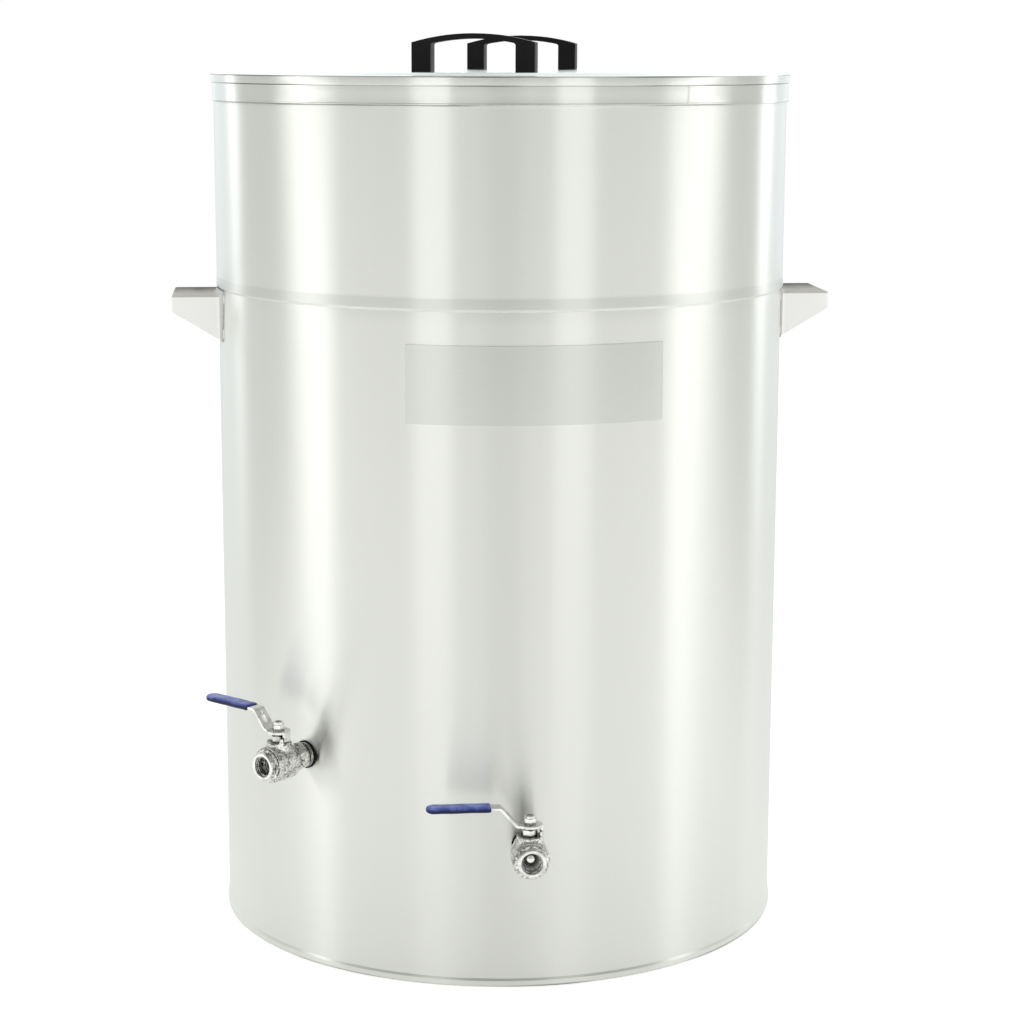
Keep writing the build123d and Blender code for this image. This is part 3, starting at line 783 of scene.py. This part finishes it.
def buildLid():
    size = lid
    low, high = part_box("lid_panel")
    edge, top, under = high.x / mm, high.z / mm, low.z / mm
    flat, bend = top - size["rise"], size["riseBend"]
    panel = [
        (0, top, 0),
        (size["riseInner"], top, bend),
        (size["riseOuter"], flat, bend),
        (edge, flat, 1.0),
        (edge, under, 0),
        (size["riseOuter"], under, bend),
        (size["riseInner"], under + size["rise"], bend),
        (0, under + size["rise"], 0),
    ]
    mesh = lathe(panel, size)
    for vertex in mesh.vertices:
        fade = max(0.0, 1 - vertex.co.xy.length / (size["riseInner"] * mm))
        vertex.co.z += fade * size["panelWave"] * mm * noise.noise(vertex.co * size["panelWaves"])
    addPiece("lidPanel", mesh, "lid", "brushed_sheet", ["lid_panel"], finish=lidFinish)
    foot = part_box("lid_skirt")[0].z / mm
    outer = edge - size["sheet"]
    hem, inner = outer + size["hemProud"], outer - size["sheet"]
    band, groove = size["bandLow"], size["groove"]
    skirt = [
        (inner, foot, 0.2),
        (hem, foot, 0.5),
        (hem, foot + size["hem"], 0.5),
        (outer, foot + size["hem"], 0.2),
        (outer, band - groove, 0.2),
        (inner + 0.3, band - groove * 0.7, 0.1),
        (inner + 0.3, band, 0.1),
        (edge, band, 0.3),
        (edge, under, 0.3),
        (inner, under, 0),
    ]
    wave = wavy(*size["skirtWave"])
    mesh = lathe(skirt, size, wave)
    addPiece("lidSkirt", mesh, "lid", "brushed_sheet", ["lid_skirt"], finish=skirtFinish)
    half = math.degrees(size["lapWidth"] / outer) / 2
    sunk, proud, bearing = size["lapSunk"], size["lapProud"], size["lapAzimuth"]
    sides = ((-half, sunk), (-half, proud), (half, proud), (half, sunk))
    rows = []
    for height in (foot + size["hem"] + size["lapGap"], band - groove - size["lapGap"]):
        swell = outer + wave(bearing, height)
        rows.append([onTank(bearing + turn, (swell + out) * mm, height * mm) for turn, out in sides])
    addPiece("lidLap", loft(rows), "lid", "brushed_sheet", finish=weldFinish)
    print("lid built")


# Lid handles: moulded bridges
grip = {
    "length": 122.0,
    "leg": 19.0,
    "depth": 25.0,
    "shoulder": 28.5,
    "crown": 37.3,
    "bar": 5.3,
    "drop": 4.5,
    "innerRound": 2.5,
    "legRound": 4.2,
    "barRound": 2.2,
    "roundParts": 5,
    "parts": 14,
}


def arc(half, shoulder, crown, parts):  # points of the arc from -half to half over its crown
    rise = crown - shoulder
    radius = (half * half + rise * rise) / (2 * rise)
    reach = math.asin(half / radius)
    turns = [reach * (2 * part / parts - 1) for part in range(parts + 1)]
    return [(radius * math.sin(turn), crown - radius * (1 - math.cos(turn))) for turn in turns]


def buildGrips():
    size = grip
    half, legIn = size["length"] / 2, size["length"] / 2 - size["leg"]
    under = size["crown"] - size["bar"]
    outer = [(x, z, 0) for x, z in arc(half, size["shoulder"], size["crown"], size["parts"])]
    inner = arc(legIn, under - size["drop"], under, size["parts"])
    inner = [(x, z, size["innerRound"] if abs(x) > legIn - 1e-6 else 0) for x, z in reversed(inner)]
    outline = softened([(-half, 0, 0), *outer, (half, 0, 0), (legIn, 0, 0), *inner, (-legIn, 0, 0)])
    for name, node in (("lidGripFront", "lid_handle_front"), ("lidGripRear", "lid_handle_rear")):
        low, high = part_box(node)
        middle = (low + high) / 2
        place = frameAt(Vector((middle.x, middle.y, low.z)))
        bm = bmesh.new()
        faces = []
        for out in (size["depth"] / 2, -size["depth"] / 2):
            faces.append([bm.verts.new(place @ Vector((out * mm, x * mm, z * mm))) for x, z in outline])
        front, back = bm.faces.new(faces[0]), bm.faces.new(faces[1])
        for index in range(len(outline)):
            after = (index + 1) % len(outline)
            bm.faces.new((faces[0][index], faces[0][after], faces[1][after], faces[1][index]))
        bmesh.ops.recalc_face_normals(bm, faces=bm.faces)
        weights = bm.edges.layers.float.new("bevel_weight_edge")
        for face in (front, back):
            for edge in face.edges:
                floor = max(corner.co.z for corner in edge.verts) < low.z + 0.0005
                upright = abs(edge.verts[0].co.z - edge.verts[1].co.z) > edge.calc_length() * 0.9
                edge[weights] = 0.0 if floor else (1.0 if upright else size["barRound"] / size["legRound"])
        draft = linked("draft", meshFrom(bm))
        bevel = draft.modifiers.new("edges", "BEVEL")
        bevel.limit_method = "WEIGHT"
        bevel.width = size["legRound"] * mm
        bevel.segments = size["roundParts"]
        addPiece(name, evaluated(draft), "lid", "black_plastic", [node])
    print("lid handles built")


# Side handles: satin sheet with tack welds along their flanges
hood = {
    "width": 97.5,
    "flange": 16.0, "flangeFoot": 6.5,
    "tack": 11.0, "tackWidth": 3.6, "tackProud": 0.9, "tackLift": 0.2,
    "ripple": 2.2,
    "inset": 3.0,
}


def buildHoods():
    size = hood
    for side, azimuth in (("left", -90), ("right", 90)):
        node = "side_handle_" + side
        nodes[node].data.materials[0] = hoodFinish
        low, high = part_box(node)
        radius = casing["radius"]
        count = round(size["tack"] / size["ripple"]) * weld["stepsPerRipple"]
        starts = (low.z / mm + size["inset"], high.z / mm - size["inset"] - size["tack"])
        for number, start in enumerate(starts):
            for edge, sign in (("A", -1), ("B", 1)):
                path, normals = [], []
                for index in range(count + 1):
                    height = start + size["tack"] * index / count
                    share = (height * mm - low.z) / (high.z - low.z)
                    across = size["width"] / 2 + size["flangeFoot"]
                    across += (size["flange"] - size["flangeFoot"]) * share
                    turn = azimuth + sign * math.degrees(math.asin(across / radius))
                    path.append(onTank(turn, (radius + size["tackLift"]) * mm, height * mm))
                    normals.append(onTank(turn, 1.0, 0.0))
                weldBead(f"{side}HoodTack{edge}{number}", path, normals, size["tackWidth"], size["tackProud"])
    print("side handles built")


# Ball valves: cast bodies, threads, dipped levers
valve = {
    "castCell": 0.75, "castPasses": 5, "castRough": 0.22, "castLength": 0.0035,
    "boreRadius": 10.6, "boreStart": 13.4,
    "threadRoot": 10.9, "threadCrest": 9.4, "threadPitch": 1.814, "threadSteps": 28,
    "threadRun": (13.6, 22.4),
    "lipInner": 10.3, "lipOuter": 14.0, "lipAt": (22.0, 23.7),
    "ringSteps": 72,
    "nutFlats": 11.0, "nutLow": 34.5, "nutHex": 39.6, "nutTop": 42.5, "nutCollar": 5.2,
    "nutBore": 3.1, "nutCorner": 1.13, "nutSteps": 96,
    "sleeveCell": 0.7, "sleevePasses": 9, "sleeveRough": 0.25, "sleeveLength": 0.012,
    "wallAt": -38.0,
    "gasketCell": 0.45, "gasketPasses": 5, "gasketKept": 0.85,
    "washerInner": 11.5, "washerOuter": 12.9, "washerAt": (-36.2, -35.3),
    "smooth": 80,
}


def threadRidge(place):
    # a screw thread round the +X of a placed frame, fading out over half a turn at each end
    size = valve
    (start, end), pitch, steps = size["threadRun"], size["threadPitch"], size["threadSteps"]
    root, crest = size["threadRoot"], size["threadCrest"]
    rows = []
    count = int((end - start - pitch) / pitch * steps)
    for index in range(count + 1):
        turn = 2 * math.pi * index / steps
        middle = start + pitch * (0.5 + index / steps)
        tip = root + (crest - root) * min(1.0, min(index, count - index) / (steps / 2))
        row = []
        for radius, shift in ((root, -0.44), (tip, -0.10), (tip, 0.10), (root, 0.44)):
            point = Vector((middle + shift * pitch, radius * math.cos(turn), radius * math.sin(turn)))
            row.append(place @ (point * mm))
        rows.append(row)
    return loft(rows)


def lockNut(turn, radius, along):
    # six flats with worn corners below, a round collar above
    size = valve
    if radius < size["nutCollar"] or along > size["nutHex"]:
        return radius
    third = math.pi / 3
    return min(radius / math.cos((turn + third / 2) % third - third / 2), radius * size["nutCorner"])


def buildValves():
    size = valve
    bore, collar, flats = size["nutBore"], size["nutCollar"], size["nutFlats"] / 2
    low, hexTop, top = size["nutLow"], size["nutHex"], size["nutTop"]
    nut = [
        (bore, low, 0),
        (flats, low, 0.3),
        (flats, hexTop, 0.3),
        (collar, hexTop + 0.4, 0.2),
        (collar, top, 0.9),
        (bore, top, 0.4),
    ]
    nut = divided(softened(nut, 4), 1.2)
    wall = size["wallAt"] * mm
    lip = ringOutline(size["lipInner"], size["lipOuter"], *size["lipAt"], (0, 0, 1.0, 1.0))
    washer = ringOutline(size["washerInner"], size["washerOuter"], *size["washerAt"], (0, 0.2, 0.4, 0))
    for side in ("front", "left"):
        lever, prefix = side + "_lever", side + "_valve_"
        place = frameAt(jointAt[lever + "_turn"])
        back = place.inverted()
        upright = place @ Matrix.Rotation(math.radians(-90), 4, "Y")  # its +X runs up the stem
        for part, stands in (("Body", prefix + "body"), ("Cap", prefix + "end_cap")):
            mesh = softCopy(stands, size["castCell"], size["castPasses"])
            if part == "Cap":
                for vertex in mesh.vertices:
                    along, across, up = back @ vertex.co
                    radius = math.hypot(across, up) / mm
                    if along > size["boreStart"] * mm and radius < size["boreRadius"]:
                        grow = size["boreRadius"] / radius
                        vertex.co = place @ Vector((along, across * grow, up * grow))
            roughened(mesh, size["castRough"], size["castLength"])
            addPiece(side + "Valve" + part, mesh, "tank", "cast_stainless", [stands], size["smooth"])
        addPiece(side + "OutletThread", threadRidge(place), "tank", "cast_stainless")
        addPiece(side + "OutletLip", spin(place, lip, size["ringSteps"]), "tank", "machined_steel")
        mesh = spin(upright, nut, size["nutSteps"], lockNut)
        addPiece(side + "LeverNut", mesh, lever, "machined_steel", [prefix + "lever_nut"])
        mesh = softCopy(prefix + "lever_sleeve", size["sleeveCell"], size["sleevePasses"])
        roughened(mesh, size["sleeveRough"], size["sleeveLength"])
        addPiece(side + "LeverSleeve", mesh, lever, "blue_vinyl", [prefix + "lever_sleeve"], size["smooth"])
        mesh = softCopy(prefix + "gasket", size["gasketCell"], size["gasketPasses"])
        for vertex in mesh.vertices:  # squeezed against the wall by the washer
            along, across, up = back @ vertex.co
            if along > wall:
                vertex.co = place @ Vector((wall + (along - wall) * size["gasketKept"], across, up))
        addPiece(side + "Gasket", mesh, "tank", "black_rubber", [prefix + "gasket"], size["smooth"])
        addPiece(side + "GasketWasher", spin(place, washer, size["ringSteps"]), "tank", "machined_steel")
    print("valves built")


# Heater head at the back: cover screws, dial, ribbed knob and gland
heater = {
    "azimuth": 180.0,
    "face": 386.0,
    "screwCircle": 33.0, "screwTurns": (90, 210, 330), "screwHead": 4.0, "screwHeight": 2.5,
    "screwRound": 1.5, "screwSteps": 40,
    "slotWidth": 1.1, "slotDepth": 1.3, "slotTurn": 1.7, "slotSoft": 0.1, "slotPast": 1,
    "knobStart": 387.5, "knobEnd": 403.5, "knobRadius": 17.0, "knobFace": 16.0, "knobRibs": 24,
    "knobRibDepth": 0.045,
    "pointerLength": 15.0, "pointerWidth": 5.0, "pointerHeight": 2.0, "pointerSoft": 0.7,
    "lineWidth": 1.6, "lineSoft": 0.12, "lineDepth": 0.5,
    "dialInner": 18.0, "dialOuter": 28.6, "dialThick": 0.5,
    "markInner": 18.8, "markOuter": 21.6, "markWidth": 0.5, "markThick": 0.15, "markSoft": 0.05,
    "dialSweep": 270.0, "dialMarks": 27, "dialNumbers": ("0", "30", "50", "70", "90", "110"),
    "numberCircle": 25.2, "numberSize": 4.4,
    "gasketRadius": 44.25, "gasketAt": (330.5, 331.5),
    "glandCentre": 358.5, "glandAt": (52.6, 61.6), "glandRadius": 10.5, "glandRibs": 18,
    "glandFlute": 0.05,
    "bossRadius": 32.0, "bossRipples": 60, "bossBead": (6.0, 1.8),
    "ringSteps": 120,
    "ribSteps": 10, "ribFade": 1.5, "ribLongest": 2.0,
}


def bar(place, low, high, soft):
    # a small block between two corners in millimetres, its edges softened
    bm = bmesh.new()
    bmesh.ops.create_cube(bm, size=1.0)
    for vertex in bm.verts:
        share = [coordinate + 0.5 for coordinate in vertex.co]
        vertex.co = place @ (Vector([a + (b - a) * s for a, b, s in zip(low, high, share)]) * mm)
    bmesh.ops.bevel(bm, geom=bm.edges, offset=soft * mm, segments=2, affect="EDGES", profile=0.5)
    return cleaned(bm)


def joined(meshes):
    bm = bmesh.new()
    for mesh in meshes:
        bm.from_mesh(mesh)
        bpy.data.meshes.remove(mesh)
    return meshFrom(bm)


def slotted(mesh, cutter):
    # cuts a screwdriver slot
    draft, tool = linked("draft", mesh), linked("tool", cutter)
    cut = draft.modifiers.new("slot", "BOOLEAN")
    cut.object = tool
    cut.operation = "DIFFERENCE"
    made = evaluated(draft)
    bpy.data.objects.remove(tool)
    return made


def numeral(text, place, size, thick):
    curve = bpy.data.curves.new("number", "FONT")
    curve.body = text
    curve.size = size * mm
    curve.extrude = thick * mm / 2
    curve.align_x = "CENTER"
    curve.align_y = "CENTER"
    made = evaluated(linked("draft", curve))
    made.transform(place)
    return made


def buildHeater():
    size = heater
    centre = jointAt["thermostat_knob_turn"].z
    place = tankFrame(size["azimuth"], 0.0, centre)
    face, head = size["face"], size["screwHead"]
    peak = face + size["screwHeight"]
    dome = ringOutline(0, head, face - 1.0, peak, (0, 0, size["screwRound"], 0))
    half, floor, past = size["slotWidth"] / 2, peak - size["slotDepth"], size["slotPast"]
    heads = []
    for turn in size["screwTurns"]:
        angle = math.radians(turn)
        shift = Vector((0, math.cos(angle), math.sin(angle))) * size["screwCircle"] * mm
        spot = place @ Matrix.Translation(shift) @ Matrix.Rotation(angle * size["slotTurn"], 4, "X")
        cutter = bar(spot, (floor, -head - past, -half), (peak + past, head + past, half), size["slotSoft"])
        heads.append(slotted(spin(spot, dome, size["screwSteps"]), cutter))
    addPiece("coverScrewHeads", joined(heads), "tank", "machined_steel", ["heater_cover_screws"])

    start, end, run = size["knobStart"], size["knobEnd"], size["ribFade"]
    wide, narrow = size["knobRadius"], size["knobFace"]
    outline = softened([(0, start, 0), (wide, start, 0.6), (narrow, end, 1.5), (0, end, 0)])

    def ribs(turn, radius, along):
        fade = max(0.0, min(1.0, (along - start - run) / run, (end - 1.0 - along) / run))
        hollow = (0.5 + 0.5 * math.cos(turn * size["knobRibs"])) ** 2
        return radius * (1 - fade * size["knobRibDepth"] * hollow)

    mesh = spin(place, divided(outline, size["ribLongest"]), size["knobRibs"] * size["ribSteps"], ribs)
    addPiece("thermostatKnob", mesh, "knob", "black_plastic", ["thermostat_knob"])
    half, line = size["pointerWidth"] / 2, size["lineWidth"] / 2
    top = end + size["pointerHeight"]
    mesh = bar(place, (end - 1, -half, -2.0), (top - 0.1, half, size["pointerLength"]), size["pointerSoft"])
    addPiece("knobPointer", mesh, "knob", "black_plastic")
    low, high = (top - size["lineDepth"], -line, 1.0), (top, line, size["pointerLength"] - 1.2)
    mesh = bar(place, low, high, size["lineSoft"])
    addPiece("knobLine", mesh, "knob", "black_plastic", finish=markFinish)

    low, high, thick = face - 0.2, face + size["dialThick"], size["markThick"]
    ring = ringOutline(size["dialInner"], size["dialOuter"], low, high, (0, 0, 0.2, 0.2), 3)
    addPiece("dialRing", spin(place, ring, size["ringSteps"]), "tank", "black_plastic")
    marks = []
    width = size["markWidth"] / 2
    corners = (high - 0.1, -width, size["markInner"]), (high + thick, width, size["markOuter"])
    for mark in range(size["dialMarks"] + 1):
        turned = place @ Matrix.Rotation(-math.radians(size["dialSweep"] * mark / size["dialMarks"]), 4, "X")
        marks.append(bar(turned, *corners, size["markSoft"]))
    circle = size["numberCircle"] * mm
    for number, text in enumerate(size["dialNumbers"]):
        angle = math.radians(size["dialSweep"] * number / (len(size["dialNumbers"]) - 1))
        across, up = circle * math.sin(angle), circle * math.cos(angle)
        spot = Matrix.Translation(((high + thick / 2) * mm, across, up))
        marks.append(numeral(text, place @ spot @ outward, size["numberSize"], thick + 0.2))
    addPiece("dialMarks", joined(marks), "tank", "black_plastic", finish=markFinish)

    rim = size["gasketRadius"]
    ring = ringOutline(rim - 2, rim, *size["gasketAt"], (0, 0.4, 0.4, 0), 4)
    addPiece("coverGasket", spin(place, ring, size["ringSteps"]), "tank", "black_rubber")
    rim = size["glandRadius"]
    ring = ringOutline(rim - 1.5, rim, *size["glandAt"], (0, 0.6, 0.9, 0), 4)

    def flutes(turn, radius, along):
        hollow = (0.5 + 0.5 * math.cos(turn * size["glandRibs"])) ** 3
        return radius * (1 - size["glandFlute"] * hollow)

    side = Matrix.Translation((0, size["glandCentre"] * mm, centre))
    mesh = spin(side, divided(ring, size["ribLongest"]), size["glandRibs"] * size["ribSteps"], flutes)
    addPiece("glandCap", mesh, "tank", "black_plastic")

    count = size["bossRipples"] * weld["stepsPerRipple"]
    path, normals = [], []
    for index in range(count):
        turn = 2 * math.pi * index / count
        across, up = math.cos(turn) * size["bossRadius"] * mm, math.sin(turn) * size["bossRadius"] * mm
        out = math.sqrt((casing["radius"] * mm) ** 2 - across**2)
        path.append(place @ Vector((out, across, up)))
        normals.append(place.to_3x3() @ Vector((1, math.cos(turn), math.sin(turn))).normalized())
    weldBead("heaterBossWeld", path, normals, *size["bossBead"], ring=True)
    print("heater built")


buildCasing()
buildVessel()
buildLid()
buildGrips()
buildHoods()
buildValves()
buildHeater()


# Studio: white surround, pale floor, tall soft lamps
camera = {
    "azimuth": -5.2,
    "distance": 2.6268,
    "height": 0.92397,
    "pitch": 10.684,
    "roll": 0.116,
    "focus": 2447.68,
    "centre": 499.19,
    "frame": 1024,
    "sensor": 36.0,
}


def buildCamera():
    view = camera
    data = bpy.data.cameras.new("camera")
    data.sensor_width = view["sensor"]
    data.lens = view["focus"] * view["sensor"] / view["frame"]
    data.shift_x = 0.5 - view["centre"] / view["frame"]
    eye = linked("camera", data)
    place = Matrix.Translation(onTank(view["azimuth"], view["distance"], view["height"]))
    turn = Matrix.Rotation(math.radians(view["azimuth"]), 4, "Z")
    tilt = Matrix.Rotation(math.radians(90 - view["pitch"]), 4, "X")
    eye.matrix_world = place @ turn @ tilt @ Matrix.Rotation(math.radians(view["roll"]), 4, "Z")
    bpy.context.scene.camera = eye


studio = {
    "floorRadius": 6.0, "floorColor": (0.79, 0.80, 0.768), "floorSeen": 0.45, "floorMirrored": 0.44,
    "floorShade": (0.4, 1.2), "floorNear": 0.6, "floorRear": (-0.3, 0.7), "floorRearLoss": 0.8,
    "floorDrop": 0.0002, "floorTint": (0.99, 1.0, 0.96),
    "worldDiffuse": 0.92,
    "front": (0.60, 0.608, 0.588),
    "back": (0.87, 0.915, 0.93), "backEdge": (-0.8, -0.45),
    "lampCircle": 2.0,
    "frontLoss": 0.66, "frontUp": (0.25, 0.6), "frontEdge": (-0.1, 0.5),
    "standAside": 0.03, "standEdge": (0.002, 0.03), "standAhead": (0.15, 0.4), "standLoss": 0.14,
    "standFloor": 0.2,
}
lamps = {  # degrees from the camera, degrees wide, metres up and long, degrees of lean, level
    "sideLeft": (-79.0, 11.0, 1.07, 1.7, 37.0, 1.15),
    "sideRight": (81.3, 11.2, 1.07, 1.7, 41.0, 1.15),
    "frontLeft": (-24.5, 14.0, 1.12, 1.4, 0.0, 0.55),
    "frontRight": (27.2, 14.0, 1.12, 1.4, 0.0, 0.46),
    "rearLeft": (-129.0, 9.5, 1.25, 1.4, 29.0, 0.70),
    "rearRight": (129.5, 10.0, 1.22, 1.5, 29.0, 0.85),
    "backdrop": (180.0, 70.0, 1.40, 0.9, 0.0, 0.35),
}


def stand(paint, point):  # how far a point lies towards the camera, and the strip where the camera stand's reflection is painted dark
    ahead, aside = (
        paint.node("ShaderNodeVectorMath", {"operation": "DOT_PRODUCT"}, {0: point, 1: tuple(way)}, "Value")
        for way in (onTank(camera["azimuth"], 1.0, 0), onTank(camera["azimuth"] + 90, 1.0, 0))
    )
    least = 0.001  # keeps the division clear of zero
    share = aside / (ahead * paint.step(ahead, 0.0, least) + least) - studio["standAside"]
    strip = 1 - paint.step(share * share, *studio["standEdge"])
    return ahead, strip * paint.step(ahead, *studio["standAhead"])


def buildWorld():
    world = bpy.data.worlds.new("surround")
    world.use_nodes = True
    bpy.context.scene.world = world
    paint = Paint(world.node_tree)
    sky = paint.node("ShaderNodeTexCoord", output="Generated")
    facing, strip = stand(paint, sky)
    tone = paint.mixed(paint.step(facing, *studio["backEdge"]), studio["back"], studio["front"])
    up = paint.node("ShaderNodeSeparateXYZ", inputs={0: sky}, output="Z")
    shade = paint.step(up, *studio["frontUp"]) * paint.step(facing, *studio["frontEdge"])
    shade = shade * studio["frontLoss"]
    shade = shade + strip * studio["standLoss"] * (1 - shade)
    mirrored = paint.ray("Glossy") + paint.ray("Transmission")
    tone = paint.mixed(shade * paint.ray("Glossy"), tone, black)
    color = paint.mixed(paint.step(mirrored, 0.0, 1.0), white, tone)
    level = studio["worldDiffuse"]
    strength = level + (1 - level) * paint.step(paint.ray("Camera") + mirrored, 0.0, 1.0)
    background = world.node_tree.nodes["Background"]
    paint.feed(background.inputs["Color"], color)
    paint.feed(background.inputs["Strength"], strength)


def buildFloor():
    fixed = {"Roughness": 0.9, "Specular IOR Level": 0.1, "Base Color": studio["floorColor"]}
    floor = Finish("floorPaper", fixed)
    mirrored = floor.ray("Glossy") + floor.ray("Transmission")
    far = floor.node("ShaderNodeVectorMath", {"operation": "LENGTH"}, {0: floor.place()}, "Value")
    # in reflections the floor's glow carries painted shade: darker near the object and towards the rear, and a
    # painted dark strip towards the camera
    least = studio["floorNear"]
    near = (least + (1 - least) * floor.step(far, *studio["floorShade"])) * floor.step(mirrored, 0.0, 1.0)
    near = near * (1 - floor.step(floor.axis("Y"), *studio["floorRear"]) * studio["floorRearLoss"])
    near = near * (1 - stand(floor, floor.place())[1] * studio["standFloor"])
    tint = tuple(level * studio["floorMirrored"] for level in studio["floorTint"])
    glow = floor.mixed(near, black, tint)
    glow = floor.mixed(floor.ray("Camera"), glow, (studio["floorSeen"],) * 3)
    floor.set({"Emission Strength": 1.0, "Emission Color": glow})
    bm = bmesh.new()
    bmesh.ops.create_circle(bm, cap_ends=True, segments=96, radius=studio["floorRadius"])
    ground = linked("floor", meshFrom(bm))
    ground.location.z = -studio["floorDrop"]
    ground.data.materials.append(floor.material)


def buildLamps():
    for name, (bearing, width, middle, length, lean, level) in lamps.items():
        light = bpy.data.lights.new(name, "AREA")
        light.shape = "RECTANGLE"
        light.size = math.radians(width) * studio["lampCircle"]
        light.size_y = length
        light.energy = level * math.pi * light.size * light.size_y
        lamp = linked(name, light)
        place = tankFrame(camera["azimuth"] + bearing, studio["lampCircle"], middle)
        tilt = Matrix.Rotation(math.radians(math.copysign(lean, -bearing)), 4, "X")
        lamp.matrix_world = place @ tilt @ outward  # the lamp shines inwards, its length up
        lamp.visible_camera = False


buildCamera()
buildWorld()
buildFloor()
buildLamps()
bpy.context.scene.view_settings.view_transform = "Standard"
print("studio built")
